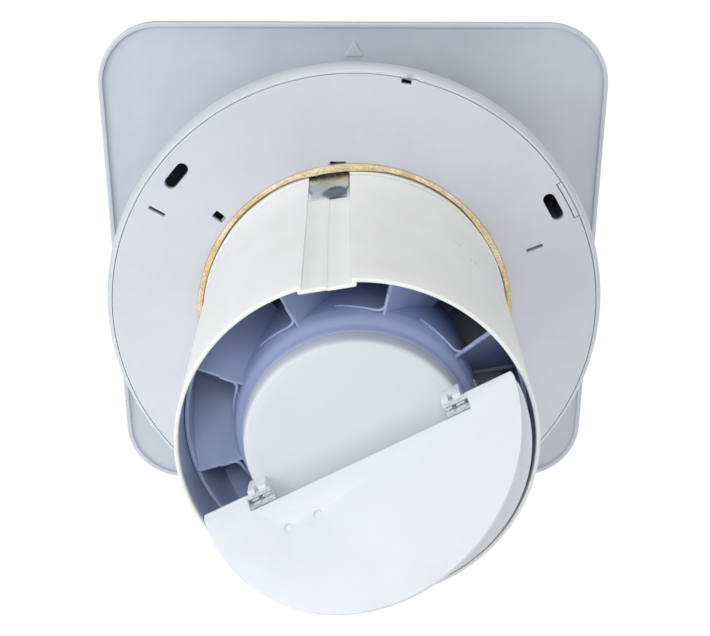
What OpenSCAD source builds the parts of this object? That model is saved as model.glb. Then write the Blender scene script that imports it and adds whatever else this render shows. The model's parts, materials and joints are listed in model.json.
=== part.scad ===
// Bathroom extractor fan: square cover panel, round casing, 100 mm duct spigot,
// axial impeller, shaded-pole motor in a vaned carrier, and a two-leaf back-draught shutter.
// Every piece is drawn with the duct along +z, up along +y and the wall face at z = 0, and
// stand() turns it so that the duct runs along +Y and up is +Z. Millimetres throughout.

/* [Duct spigot] */
// Outside diameter of the duct spigot
spigot_d = 99; // [98:0.5:100]
// Length of the spigot behind the wall face
spigot_l = 93; // [92:1:94]
// Wall thickness of the spigot
spigot_wall = 1.2; // [1:0.1:1.4]
// Width of the flat channel along the top of the spigot
channel_w = 13; // [11:0.5:15]
// Place of the channel around the spigot, in degrees from the side
channel_angle = 99.5; // [95:0.5:105]

/* [Casing] */
// Largest diameter of the round casing
casing_d = 165.2; // [164:0.2:168]
// Depth of the casing in front of the wall face
casing_h = 36; // [35:1:40]
// Thickness of the backplate
plate_t = 2.4; // [2:0.1:3]

/* [Cover] */
// Width and height of the square cover panel
cover_w = 174; // [170:1:190]
// Radius of the cover's corners
cover_r = 21.5; // [12:0.5:30]
// Air gap between the casing and the cover panel
cover_gap = 10.5; // [8:0.5:14]
// Thickness of the cover panel
cover_t = 4; // [3:0.5:6]

/* [Shutter] */
// Angle of the hinge line above the horizontal
hinge_tilt = 28; // [0:1:45]
// Diameter of the closed pair of leaves
shutter_d = 94; // [92:0.5:94.5]
// Thickness of a leaf
leaf_t = 1.5; // [1.2:0.1:1.6]
// How far the upper leaf is folded open
upper_open = 126; // [90:1:127]

/* [Fan and motor] */
// Diameter of the impeller
impeller_d = 91; // [86:0.5:91.5]
// Number of impeller blades
blade_count = 7; // [5:1:8]
// Number of guide vanes
vane_count = 9; // [7:1:11]
// Radius of the motor cap
cap_r = 31; // [30:0.5:31.5]

/* [Hidden] */
$fn = 96;

over = 1;             // how far a cutting tool runs past a face
slip = 0.15;          // gap between pieces that slide together
spigot_r = spigot_d / 2;
bore_r = spigot_r - spigot_wall;

// foam gasket, spigot channel and its steel spring
gasket_r = 51.7;
gasket_h = 3;
gasket_bite = 0.95;   // how deep the gasket sits in its seat in the plate
channel_floor = spigot_r - 1.6;
flange_r = 54;
root_grow = 0.55;     // extra radius of the collar at the spigot's root
root_z = gasket_h;
root_groove = 0.6;    // depth of the groove above the collar
groove_h = 1;
flange_z = -plate_t - 2;
clip_w = 10.5;
clip_t = 0.5;
clip_len = 21;
clip_start = -3.1;    // inner end of the spring, in the channel's gap through the flange
clip_foot = 3.25;     // how far the spring's foot is turned outward
clip_lift = 0.75;     // height of the strip above the channel's floor
clip_ramp = 2.2;      // length of the outer end that slopes down to the floor

// casing and backplate
casing_r = casing_d / 2;
casing_wall = 2.2;
casing_taper = 6.2;   // how much the side wall draws in towards the face
seat_r = casing_r - casing_wall;
plate_r = seat_r - 0.2;
inner_r = seat_r - 1;
bead_z = -5.8;
plate_hole_r = spigot_r + root_grow + 0.2;
slot_r = 74;
slot_w = 3.9;
slot_span = 4.5;
slot_angles = [30.6, 139.7, 225, 315];
latch_angle = 78.5;
knock_angle = 30.4;
knock_w = 13.3;
knock_depth = 1.8;
pillar_r = 3.6;
pillar_place = 68;
pillar_angles = [62, 118, 242, 298];
screw_r = 1.6;
boss_h = 8;

// inlet mouth
mouth_r = 53;
lip_r = 4;
funnel_end = flange_z - 0.4;
funnel_wall = 2;

// cover panel
cover_back = -casing_h - cover_gap;
cover_front = cover_back - cover_t;
cover_edge = 3;
cover_lip = 1.6;
post_r = 3.5;
post_place = 65;
post_angles = [45, 135, 225, 315];
grommet_r = 5;

// motor and carrier, along the duct
carrier_z = 50;
cup_r = 34.5;
cup_wall = 1.6;
shoulder_z = 79;
cup_top = 85;
cap_top = 90.7;
ring_r = bore_r - slip;
ring_t = 1.15;
ring_z = 55;
vane_t = 1.3;
vane_pitch = 42;
vane_phase = 78;
stack_z = 61.5;
stack_h = 16;
core_r = 28.5;
yoke_r = 24;
pole_w = 9;
pole_bore = 13.4;
shaft_r = 2;
rotor_r = 13;
bearing_r = 5;
bearing_l = 5;
front_plate_z = 55;
rear_plate_z = 82;
bracket_r = 29;
bracket_t = 2;
boss_r = 7;
tie_place = 26.2;
tie_r = 1.5;

// impeller
hub_r = 19.5;
hub_front = 14;
hub_back = 45;
blade_t = 1.6;
blade_pitch = 52;

// shutter
leaf_r = shutter_d / 2;
pin_offset = 1.45;
pin_z = 94.2;
pin_r = 0.8;
pin_bore = 0.87;
bead_r = 0.9;
ear_start = 33.3;
notch = 4.4;
post_in = 26.6;
post_out = 32.2;
post_half = 3.6;
post_top = 95.6;

// electrical compartment
block_x = 65;
block_z = -17;
cover_half = 18;
lead_r = 0.9;
lead_angle = 8;
lead_bend = 1.6;
lead_place = bore_r - lead_r - 0.05;
lead_z = 53.2;
lead_out_z = -12;
lead_out_r = 59;
clamp_angle = 28;
clamp_place = 62;

// Turns the drawing frame into the installed one: duct along +Y, up along +Z.
module stand() {
    rotate([90, 0, 180])
        children();
}

// Ring with a square section, from z0 to z1.
module tube(r_in, r_out, z0, z1) {
    translate([0, 0, z0])
        difference() {
            cylinder(r = r_out, h = z1 - z0);
            translate([0, 0, -over])
                cylinder(r = r_in, h = z1 - z0 + 2 * over);
        }
}

// Cylinder from z0 to z1.
module rod(r, z0, z1) {
    translate([0, 0, z0])
        cylinder(r = r, h = z1 - z0);
}

// Copies the children round the duct axis, at a distance out from it.
module around(angles, place = 0) {
    for (a = angles)
        rotate(a)
            translate([place, 0, 0])
                children();
}

// Slot along an arc: two round ends joined by a straight run.
module arc_slot(place, angle, span, w, z0, z1) {
    chord = 2 * place * sin(span / 2);
    rotate(angle)
        translate([place, 0, z0])
            linear_extrude(z1 - z0) {
                square([w, chord], center = true);
                for (s = [-1, 1])
                    translate([0, s * chord / 2])
                        circle(d = w, $fn = 32);
            }
}

// Pan-head screw along +z: shank from z0 to z1 and the head beyond z1.
module screw(r, z0, z1, head_r, head_h) {
    rod(r, z0, z1);
    difference() {
        rod(head_r, z1, z1 + head_h);
        for (a = [0, 90])
            rotate(a)
                translate([-head_r * 0.6, -0.4, z1 + head_h * 0.5])
                    cube([head_r * 1.2, 0.8, head_h]);
    }
}

// The flat channel's outline, grown by a margin, as a prism along the spigot.
module channel_space(grow, z0, z1) {
    rotate(channel_angle)
        translate([channel_floor - grow, -channel_w / 2 - grow, z0])
            cube([spigot_r, channel_w + 2 * grow, z1 - z0]);
}

// ---- cover ----

// One straight or turned length of the cover's rounded edge, as a section.
module cover_section() {
    difference() {
        translate([0, cover_front])
            square([cover_r, cover_t + cover_lip]);
        translate([cover_r - cover_edge, cover_front])
            difference() {
                square([cover_edge + over, cover_edge]);
                translate([0, cover_edge])
                    circle(r = cover_edge);
            }
        translate([-over, cover_back])
            square([cover_r - cover_lip + over, cover_lip + over]);
    }
}

module front_cover() {
    flat = cover_w - 2 * cover_r;
    color("whitesmoke")
        stand() {
            translate([-flat / 2, -flat / 2, cover_front])
                cube([flat, flat, cover_t]);
            for (q = [0 : 3])
                rotate(q * 90) {
                    translate([flat / 2, flat / 2, 0])
                        rotate_extrude(angle = 90)
                            cover_section();
                    translate([flat / 2, flat / 2, 0])
                        rotate([90, 0, 0])
                            linear_extrude(flat)
                                cover_section();
                }
            around(post_angles, post_place)
                rod(post_r, cover_back, -casing_h + 6);
            translate([0, cover_w / 2 - 9, cover_back])
                linear_extrude(0.6)
                    polygon([[-3.5, -2.5], [3.5, -2.5], [0, 3]]);
        }
}

module cover_grommets() {
    color("dimgray")
        stand()
            around(post_angles, post_place)
                difference() {
                    union() {
                        rod(grommet_r - 0.1, -casing_h - 1, -casing_h + 4);
                        rod(grommet_r + 1.4, -casing_h - 1.2, -casing_h - 0.1);
                        rod(grommet_r + 1.4, -casing_h + casing_wall + 0.1, -casing_h + 4);
                    }
                    rod(post_r + 0.1, -casing_h - 3, -casing_h + 6);
                }
}

// ---- casing ----

module casing_section() {
    face = -casing_h;
    taper_r = casing_r - casing_taper;
    difference() {
        union() {
            // side wall with a rounded bead at the widest point
            polygon([
                [seat_r, 0], [seat_r + 0.9, -0.2], [casing_r - 0.4, -2.6], [casing_r, bead_z],
                [casing_r - 0.9, -10], [taper_r, face + 4], [taper_r - 1.8, face + 1.4],
                [taper_r - 4.4, face], [mouth_r + lip_r, face], [mouth_r + lip_r, face + casing_wall],
                [taper_r - 4.9, face + casing_wall], [taper_r - casing_wall, face + 4],
                [inner_r, -10], [inner_r, -plate_t - 0.1], [seat_r, -plate_t - 0.1]
            ]);
            // mouth that rolls from the face into the funnel
            translate([bore_r, face])
                square([mouth_r + lip_r - bore_r + 0.5, mouth_r + lip_r - bore_r]);
            translate([bore_r, face])
                square([funnel_wall, -face + funnel_end]);
        }
        translate([mouth_r + lip_r, face + mouth_r + lip_r - bore_r])
            circle(r = mouth_r + lip_r - bore_r - casing_wall);
        translate([mouth_r + lip_r + 0.5, face + casing_wall])
            square([2, mouth_r]);
        intersection() {
            translate([bore_r - over, face - over])
                square([mouth_r + lip_r - bore_r + over, mouth_r + lip_r - bore_r + over]);
            difference() {
                translate([bore_r - over, face - over])
                    square([mouth_r, mouth_r]);
                translate([mouth_r + lip_r, face + mouth_r + lip_r - bore_r])
                    circle(r = mouth_r + lip_r - bore_r);
            }
        }
    }
}

module casing() {
    color("white")
        stand()
            difference() {
                union() {
                    rotate_extrude()
                        casing_section();
                    around(pillar_angles, pillar_place)
                        rod(pillar_r, -casing_h + 1, -plate_t - boss_h - 0.3);
                }
                around(pillar_angles, pillar_place) {
                    rod(screw_r + 0.3, -casing_h - over, 0);
                    rod(3.4, -casing_h - over, -casing_h + 2.5);
                }
                around(post_angles, post_place)
                    rod(grommet_r, -casing_h - over, -casing_h + casing_wall + over);
                // thumb scoop in the rim, beside the latch notch
                rotate(latch_angle - 1.5)
                    translate([plate_r + 1, 0, over])
                        sphere(r = 2.6, $fn = 32);
                // lead hole through the funnel
                rotate(lead_angle)
                    translate([bore_r - over, 0, lead_out_z + 0.4])
                        rotate([0, 90, 0])
                            cylinder(r = lead_r + 0.7, h = 6, $fn = 32);
            }
}

module inlet_grille() {
    bar = 1.6;
    rim = mouth_r + lip_r;
    z0 = -casing_h - 2.4;
    z1 = -casing_h - 0.2;
    color("gainsboro")
        stand() {
            for (r = [9 : 8.2 : 50])
                tube(r, r + bar, z0, z1);
            tube(rim - 4, rim, z0, z1);
            for (a = [0 : 60 : 300])
                rotate(a)
                    translate([9, -1, z0])
                        cube([rim - 11, 2, z1 - z0]);
        }
}

module backplate() {
    color("aliceblue")
        stand()
            difference() {
                union() {
                    tube(plate_hole_r, plate_r, -plate_t, 0);
                    around(pillar_angles, pillar_place)
                        rod(pillar_r, -plate_t - boss_h, -plate_t);
                    translate([block_x - 9, -cover_half - 5, -8])
                        cube([7, 4.6, 6]);
                }
                tube(0, gasket_r + 0.3, -1, over);
                // notch in the edge of the gasket's seat
                translate([-7.9, gasket_r - 0.5, -plate_t - over])
                    cube([5.1, 1.4, plate_t + 2 * over]);
                for (a = slot_angles)
                    arc_slot(slot_r, a, slot_span, slot_w, -plate_t - over, over);
                // narrow radial slots
                rotate(150.2)
                    translate([70.2, -0.55, -plate_t - over])
                        cube([5.6, 1.1, plate_t + 2 * over]);
                rotate(22.1)
                    translate([60.4, -0.55, -plate_t - over])
                        cube([5.5, 1.1, plate_t + 2 * over]);
                // wider slot and the slit beside the spigot
                rotate(141.7)
                    translate([53, -1.3, -plate_t - over])
                        cube([4.4, 2.6, plate_t + 2 * over]);
                // latch notch at the rim
                rotate(latch_angle)
                    translate([plate_r - 1.6, -1.6, -plate_t - over])
                        cube([4, 3.2, plate_t + 2 * over]);
                // knock-out opening
                rotate(knock_angle)
                    translate([plate_r - knock_depth, -knock_w / 2, -plate_t - over])
                        cube([4, knock_w, plate_t + 2 * over]);
                around(pillar_angles, pillar_place)
                    rod(screw_r + 0.1, -plate_t - boss_h - over, -plate_t - 0.4);
                translate([block_x - 5.5, -cover_half - 2.7, -9])
                    cylinder(r = 1.35, h = 6.5, $fn = 32);
            }
}

module cable_knockout() {
    gap = 0.25;
    color("aliceblue")
        stand()
            intersection() {
                rotate(knock_angle)
                    translate([plate_r - knock_depth + gap, -knock_w / 2 + gap, -plate_t])
                        cube([4, knock_w - 2 * gap, plate_t]);
                translate([0, 0, -plate_t])
                    cylinder(r = plate_r, h = plate_t, $fn = 720);
            }
}

module foam_gasket() {
    color("khaki")
        stand()
            tube(plate_hole_r, gasket_r, -gasket_bite, gasket_h);
}

module spigot() {
    wall = spigot_wall;
    color("ivory")
        stand()
            difference() {
                union() {
                    tube(bore_r, spigot_r + root_grow, flange_z, root_z);
                    tube(bore_r, spigot_r - root_groove, root_z, root_z + groove_h);
                    tube(bore_r, spigot_r, root_z + groove_h, spigot_l);
                    tube(bore_r, flange_r, flange_z, -plate_t - 0.15);
                    intersection() {
                        rod(spigot_r - root_groove, flange_z, spigot_l);
                        rotate(channel_angle)
                            translate([channel_floor - wall, -channel_w / 2 - wall, flange_z])
                                cube([4, channel_w + 2 * wall, spigot_l - flange_z]);
                    }
                }
                rotate(channel_angle)
                    translate([channel_floor, -channel_w / 2, flange_z - over])
                        cube([spigot_r, channel_w, spigot_l - flange_z + 2 * over]);
                rotate(channel_angle)
                    translate([channel_floor - 0.35, -channel_w / 2, flange_z - over])
                        cube([1, channel_w / 2, spigot_l - flange_z + 2 * over]);
            }
}

module spring_clip() {
    low = channel_floor + 0.05;
    base = channel_floor + clip_lift;
    color("silver")
        stand()
            rotate(channel_angle)
                rotate([90, 0, 0])
                    translate([0, 0, -clip_w / 2])
                        linear_extrude(clip_w)
                            polygon([
                                [base, clip_start], [base + clip_foot, clip_start],
                                [base + clip_foot, clip_start + clip_t], [base + clip_t, clip_start + clip_t],
                                [base + clip_t, clip_len - clip_ramp], [low + clip_t, clip_len],
                                [low, clip_len], [base, clip_len - clip_ramp]
                            ]);
}

// ---- motor carrier ----

module vane() {
    length = 34;
    rotate([-vane_pitch, 0, 0])
        translate([0, -vane_t / 2, -length])
            cube([20, vane_t, length + 2]);
}

module carrier_cup_section() {
    polygon([
        [8, carrier_z], [cup_r - 1.5, carrier_z], [cup_r, carrier_z + 1.5], [cup_r, shoulder_z - 1],
        [cup_r - 0.6, shoulder_z + 0.4], [cup_r - 1.8, shoulder_z + 2], [cap_r + 0.9, cup_top - 2],
        [cap_r + 0.6, cup_top], [cap_r - 1, cup_top], [cap_r - 0.7, cup_top - 2.2],
        [cup_r - cup_wall - 1.2, shoulder_z + 1], [cup_r - cup_wall, shoulder_z - 2],
        [cup_r - cup_wall, carrier_z + 2], [8, carrier_z + 2]
    ]);
}

module motor_carrier() {
    step = 360 / vane_count;
    color("lightsteelblue")
        stand()
            difference() {
                union() {
                    rotate_extrude()
                        carrier_cup_section();
                    tube(ring_r - ring_t, ring_r, ring_z, shoulder_z - 1);
                    intersection() {
                        tube(cup_r - 0.8, ring_r - ring_t / 2, ring_z + 1, shoulder_z);
                        for (i = [0 : vane_count - 1])
                            rotate(vane_phase + i * step)
                                translate([cup_r - 2, 0, shoulder_z])
                                    vane();
                    }
                }
                channel_space(spigot_wall + 0.3, ring_z - over, shoulder_z + over);
                rotate(lead_angle)
                    translate([cup_r - 4, 0, lead_z])
                        rotate([0, 90, 0])
                            cylinder(r = lead_r + 0.15, h = 6, $fn = 32);
            }
}

// Hinge post at one end of the hinge line; side is 1 or -1.
module hinge_post(side) {
    translate([side > 0 ? post_in : -post_out, -post_half, cap_top - 2])
        cube([post_out - post_in, 2 * post_half, post_top - cap_top + 2]);
}

module motor_cap() {
    skirt = cup_top + 0.1;
    color("lavender")
        stand()
            difference() {
                union() {
                    rotate_extrude()
                        polygon([
                            [0, cap_top], [cap_r - 1, cap_top], [cap_r - 0.3, cap_top - 0.4],
                            [cap_r, cap_top - 1.2], [cap_r + 0.6, skirt], [cap_r - 1, skirt],
                            [cap_r - 1.6, cap_top - 1.8], [0, cap_top - 1.8]
                        ]);
                    rotate(hinge_tilt)
                        intersection() {
                            union() {
                                hinge_post(1);
                                hinge_post(-1);
                            }
                            rod(post_out, cap_top - 1.7, post_top);
                        }
                }
                // a socket for each leaf's pins, and the saw cut between the two
                rotate(hinge_tilt)
                    for (y = [-pin_offset, pin_offset]) {
                        translate([-post_out - over, y, pin_z])
                            rotate([0, 90, 0])
                                cylinder(r = pin_bore, h = 2 * post_out + 2 * over, $fn = 32);
                    }
                rotate(hinge_tilt)
                    translate([-post_out - over, -0.3, cap_top + 1.2])
                        cube([2 * post_out + 2 * over, 0.6, 5]);
            }
}

// ---- shutter leaves, drawn closed with the hinge along x and the leaf on the +y side ----

module leaf(dimples) {
    translate([0, pin_offset, pin_z])
        difference() {
            union() {
                intersection() {
                    translate([0, -pin_offset, -leaf_t / 2])
                        cylinder(r = leaf_r, h = leaf_t);
                    union() {
                        translate([-leaf_r, notch, -leaf_t])
                            cube([2 * leaf_r, leaf_r, 2 * leaf_t]);
                        for (s = [-1, 1])
                            translate([s > 0 ? ear_start : -leaf_r, 0, -leaf_t])
                                cube([leaf_r - ear_start, notch + over, 2 * leaf_t]);
                    }
                }
                for (s = [-1, 1])
                    translate([s > 0 ? ear_start : -leaf_r + 0.2, 0, 0])
                        rotate([0, 90, 0])
                            cylinder(r = bead_r, h = leaf_r - 0.2 - ear_start, $fn = 32);
                for (s = [-1, 1])
                    translate([s > 0 ? post_in - 0.4 : -ear_start - 1, 0, 0])
                        rotate([0, 90, 0])
                            cylinder(r = pin_r, h = ear_start - post_in + 1.4, $fn = 32);
            }
            if (dimples)
                for (x = [-24.2, -15.3])
                    translate([x, 13.7, -leaf_t / 2 - over])
                        cylinder(r = 1.3, h = over + 0.7, $fn = 32);
        }
}

module flap_upper() {
    color("white")
        stand()
            rotate(hinge_tilt)
                translate([0, pin_offset, pin_z])
                    rotate([upper_open, 0, 0])
                        translate([0, -pin_offset, -pin_z])
                            leaf(true);
}

module flap_lower() {
    color("white")
        stand()
            rotate(hinge_tilt + 180)
                leaf(false);
}

// ---- rotor ----

module impeller() {
    step = 360 / blade_count;
    tip_r = impeller_d / 2;
    color("slategray")
        stand()
            difference() {
                union() {
                    rotate_extrude()
                        polygon([
                            [0, hub_front], [9, hub_front], [14, hub_front + 1.5],
                            [hub_r - 1.5, hub_front + 4.5], [hub_r, hub_front + 8], [hub_r, hub_back],
                            [hub_r - 1.6, hub_back], [hub_r - 1.6, hub_front + 9],
                            [hub_r - 4, hub_front + 6], [6, hub_front + 4], [5, hub_front + 22],
                            [0, hub_front + 22]
                        ]);
                    intersection() {
                        tube(hub_r - 1, tip_r, hub_front + 4, hub_back - 1);
                        for (i = [0 : blade_count - 1])
                            rotate(i * step)
                                translate([0, 0, (hub_front + hub_back) / 2])
                                    rotate([blade_pitch, 0, 0])
                                        translate([hub_r - 1.5, -blade_t / 2, -20])
                                            cube([tip_r, blade_t, 40]);
                    }
                }
                rod(shaft_r + 0.03, hub_front - over, hub_front + 23);
            }
}

module impeller_clip() {
    color("silver")
        stand()
            difference() {
                tube(shaft_r + 0.03, 6, hub_front - 0.7, hub_front - 0.1);
                for (a = [0 : 60 : 300])
                    rotate(a)
                        translate([shaft_r - 0.5, -0.3, hub_front - 2])
                            cube([2, 0.6, 3]);
            }
}

module motor_shaft() {
    color("silver")
        stand()
            union() {
                rod(shaft_r, hub_front - 2.5, rear_plate_z + bearing_l);
                rod(shaft_r - 0.4, hub_front - 3, hub_front - 2.5);
            }
}

module rotor_core() {
    color("gray")
        stand()
            difference() {
                union() {
                    rod(rotor_r, stack_z, stack_z + stack_h);
                    rod(rotor_r - 1.4, stack_z - 1.6, stack_z + stack_h + 1.6);
                }
                rod(shaft_r + 0.03, stack_z - 3, stack_z + stack_h + 3);
                tube(5.5, rotor_r - 4, stack_z - 3, stack_z - 0.4);
                tube(5.5, rotor_r - 4, stack_z + stack_h + 0.4, stack_z + stack_h + 3);
            }
}

// ---- motor stator ----

module stator_core() {
    color("darkgray")
        stand()
            difference() {
                union() {
                    tube(yoke_r, core_r, stack_z, stack_z + stack_h);
                    for (a = [0 : 90 : 270])
                        rotate(a)
                            translate([pole_bore, -pole_w / 2, stack_z])
                                cube([yoke_r - pole_bore + 0.5, pole_w, stack_h]);
                    intersection() {
                        tube(pole_bore, pole_bore + 2.2, stack_z, stack_z + stack_h);
                        for (a = [0 : 90 : 270])
                            rotate(a)
                                translate([pole_bore - 6, -7.4, stack_z])
                                    cube([12, 14.8, stack_h]);
                    }
                }
                rod(pole_bore, stack_z - over, stack_z + stack_h + over);
                around([45 : 90 : 315], tie_place)
                    rod(tie_r + 0.1, stack_z - over, stack_z + stack_h + over);
            }
}

// Rectangular frame round one pole, lying along x from x0 to x1.
module pole_frame(x0, x1, w_in, h_in, w_out, h_out) {
    mid = stack_z + stack_h / 2;
    difference() {
        translate([x0, -w_out / 2, mid - h_out / 2])
            cube([x1 - x0, w_out, h_out]);
        translate([x0 - over, -w_in / 2, mid - h_in / 2])
            cube([x1 - x0 + 2 * over, w_in, h_in]);
    }
}

module coil_bobbins() {
    color("beige")
        stand()
            for (a = [0 : 90 : 270])
                rotate(a) {
                    pole_frame(16.3, 17.1, pole_w + 0.2, stack_h + 0.2, 15, 21.4);
                    pole_frame(17, 22.5, pole_w + 0.2, stack_h + 0.2, pole_w + 1.6, stack_h + 1.6);
                    pole_frame(22.4, 23.1, pole_w + 0.2, stack_h + 0.2, 11.6, 21.4);
                }
}

module windings() {
    color("peru")
        stand()
            for (a = [0 : 90 : 270])
                rotate(a)
                    pole_frame(17.2, 22.3, pole_w + 1.8, stack_h + 1.8, 14.6, stack_h + 5);
}

module thermal_fuse() {
    color("saddlebrown")
        stand()
            rotate(45)
                translate([20, 0, 0]) {
                    rod(1.7, stack_z + 3, stack_z + 12);
                    rod(0.4, stack_z - 0.5, stack_z + 15.5);
                }
}

module end_bracket(plate_z, boss_z) {
    difference() {
        union() {
            rod(bracket_r, plate_z, plate_z + bracket_t);
            rod(boss_r, boss_z, boss_z + bearing_l);
        }
        rod(bearing_r, boss_z - over, boss_z + bearing_l + over);
        around([45 : 90 : 315], tie_place)
            rod(tie_r + 0.1, plate_z - over, plate_z + bracket_t + over);
        around([0 : 90 : 270], 17)
            rod(4, plate_z - over, plate_z + bracket_t + over);
    }
}

module front_bracket() {
    color("silver")
        stand()
            end_bracket(front_plate_z, front_plate_z + bracket_t - bearing_l);
}

module rear_bracket() {
    color("silver")
        stand()
            end_bracket(rear_plate_z, rear_plate_z);
}

module bearing(z0) {
    tube(shaft_r + 0.04, bearing_r - 0.02, z0, z0 + bearing_l);
}

module front_bearing() {
    color("darkgoldenrod")
        stand()
            bearing(front_plate_z + bracket_t - bearing_l);
}

module rear_bearing() {
    color("darkgoldenrod")
        stand()
            bearing(rear_plate_z);
}

module thrust_washers() {
    color("wheat")
        stand()
            union() {
                tube(shaft_r + 0.04, 4.4, front_plate_z + bracket_t + 0.2, front_plate_z + bracket_t + 1);
                tube(shaft_r + 0.04, 4.4, rear_plate_z - 1, rear_plate_z - 0.2);
            }
}

module motor_dampers() {
    color("black")
        stand()
            union() {
                tube(bracket_r + 0.1, cup_r - cup_wall - 0.1, front_plate_z - 1, front_plate_z + 3);
                tube(bracket_r + 0.1, cap_r - 0.8, rear_plate_z - 1.5, rear_plate_z + 0.6);
            }
}

module motor_screws() {
    color("gainsboro")
        stand()
            around([45 : 90 : 315], tie_place)
                screw(tie_r, front_plate_z - 1.4, rear_plate_z + bracket_t + 0.1, 2.6, 1.6);
}

// ---- electrical pieces ----

// Quarter turn of the lead in the x-z plane, from pointing along x to pointing along z.
module lead_elbow() {
    rotate([90, 0, 0])
        rotate_extrude(angle = 90)
            translate([lead_bend, 0])
                circle(r = lead_r);
}

// Internal lead: out of the motor cup, along the bore and out through the funnel to the block.
module motor_lead() {
    cup_side = cup_r - cup_wall;
    color("white")
        stand()
            rotate(lead_angle) {
                translate([cup_side, 0, lead_z])
                    rotate([0, 90, 0])
                        cylinder(r = lead_r, h = lead_place - lead_bend - cup_side);
                translate([lead_place - lead_bend, 0, lead_z - lead_bend])
                    lead_elbow();
                translate([lead_place, 0, 0])
                    rod(lead_r, lead_out_z + lead_bend, lead_z - lead_bend);
                translate([lead_place + lead_bend, 0, lead_out_z + lead_bend])
                    rotate([0, 180, 0])
                        lead_elbow();
                translate([lead_place + lead_bend, 0, lead_out_z])
                    rotate([0, 90, 0])
                        cylinder(r = lead_r, h = lead_out_r - lead_place - lead_bend);
            }
}

module terminal_block() {
    color("ghostwhite")
        stand()
            difference() {
                translate([block_x - 6, -13, block_z])
                    cube([12, 26, -plate_t - 0.1 - block_z]);
                for (y = [-8, 0, 8]) {
                    translate([block_x, y, block_z - over])
                        cylinder(r = 2.4, h = 9, $fn = 32);
                    translate([block_x - 6 - over, y, block_z + 9])
                        rotate([0, 90, 0])
                            cylinder(r = 1.7, h = 12 + 2 * over, $fn = 32);
                }
            }
}

module terminal_screws() {
    color("gold")
        stand()
            for (y = [-8, 0, 8])
                translate([block_x, y, 0])
                    mirror([0, 0, 1])
                        screw(1.5, -block_z - 7.2, -block_z - 3, 2.1, 1.4);
}

module terminal_cover() {
    wall = 1.4;
    top = block_z - 6;
    color("whitesmoke")
        stand()
            difference() {
                union() {
                    translate([block_x - 10, -cover_half, top])
                        cube([18.5, 2 * cover_half, -plate_t - 0.2 - top]);
                    translate([block_x - 9, -cover_half - 5, -9.8])
                        cube([7, 6, 1.6]);
                }
                translate([block_x - 10 + wall, -cover_half + wall, top + wall])
                    cube([18.5 - 2 * wall, 2 * cover_half - 2 * wall, -top]);
                translate([block_x - 12, 2, lead_out_z - 2.2])
                    cube([6, 9, 12]);
                translate([block_x - 4, cover_half - 3, -10])
                    cube([8, 6, 12]);
                translate([block_x - 5.5, -cover_half - 2.7, -11])
                    cylinder(r = 1.5, h = 4, $fn = 32);
            }
}

module terminal_cover_screw() {
    color("gold")
        stand()
            translate([block_x - 5.5, -cover_half - 2.7, 0])
                mirror([0, 0, 1])
                    screw(1.25, 3.5, 9.9, 2.3, 1.5);
}

module cable_clamp() {
    color("whitesmoke")
        stand()
            rotate(clamp_angle)
                translate([clamp_place, 0, 0])
                    difference() {
                        translate([-3, -7.5, -9])
                            cube([6, 15, 6.5]);
                        translate([-4, -2.6, -9.2])
                            cube([8, 5.2, 2.4]);
                        for (y = [-5.2, 5.2])
                            translate([0, y, -10])
                                cylinder(r = 1.35, h = 9, $fn = 32);
                    }
}

module clamp_screws() {
    color("gold")
        stand()
            rotate(clamp_angle)
                translate([clamp_place, 0, 0])
                    for (y = [-5.2, 5.2])
                        translate([0, y, 0])
                            mirror([0, 0, 1])
                                screw(1.25, 3, 9.1, 2.1, 1.4);
}

module body_screws() {
    color("gainsboro")
        stand()
            around(pillar_angles, pillar_place)
                mirror([0, 0, 1])
                    screw(screw_r, plate_t + 2, casing_h - 2.4, 3, 1.8);
}

front_cover();
cover_grommets();
inlet_grille();
casing();
backplate();
cable_knockout();
foam_gasket();
spigot();
spring_clip();
motor_carrier();
motor_cap();
flap_upper();
flap_lower();
impeller();
impeller_clip();
motor_shaft();
rotor_core();
stator_core();
coil_bobbins();
windings();
thermal_fuse();
front_bracket();
rear_bracket();
front_bearing();
rear_bearing();
thrust_washers();
motor_dampers();
motor_screws();
motor_lead();
terminal_block();
terminal_screws();
terminal_cover();
terminal_cover_screw();
cable_clamp();
clamp_screws();
body_screws();
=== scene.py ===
"""Looks of a bathroom extractor fan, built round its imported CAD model.

Lengths are millimetres in the drawing frame (duct along +z, up along +y, wall face at z = 0)
until place() turns them into the row frame, which is in metres.
"""

import json
import logging
import math
from collections.abc import Callable, Mapping, Sequence
from dataclasses import dataclass
from enum import Enum

import bmesh
import bpy
from mathutils import Matrix, Vector, noise


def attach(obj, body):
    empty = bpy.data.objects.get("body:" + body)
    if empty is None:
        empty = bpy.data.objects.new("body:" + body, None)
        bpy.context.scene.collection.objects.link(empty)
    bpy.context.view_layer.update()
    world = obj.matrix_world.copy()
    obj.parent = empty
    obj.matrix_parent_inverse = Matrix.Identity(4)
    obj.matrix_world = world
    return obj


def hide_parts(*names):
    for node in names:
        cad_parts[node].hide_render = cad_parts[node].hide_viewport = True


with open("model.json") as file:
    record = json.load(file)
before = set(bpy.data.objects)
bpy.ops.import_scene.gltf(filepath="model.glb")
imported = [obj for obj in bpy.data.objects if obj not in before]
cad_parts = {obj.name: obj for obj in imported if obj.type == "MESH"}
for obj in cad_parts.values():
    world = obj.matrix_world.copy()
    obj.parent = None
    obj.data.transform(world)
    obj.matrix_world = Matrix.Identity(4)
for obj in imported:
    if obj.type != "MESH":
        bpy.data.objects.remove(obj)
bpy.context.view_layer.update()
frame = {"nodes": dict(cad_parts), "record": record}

LOG = logging.getLogger("extractor_fan")
MM = 0.001

Colour = tuple[float, float, float]
Flat = tuple[float, float]
Point = tuple[float, float, float]

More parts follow.
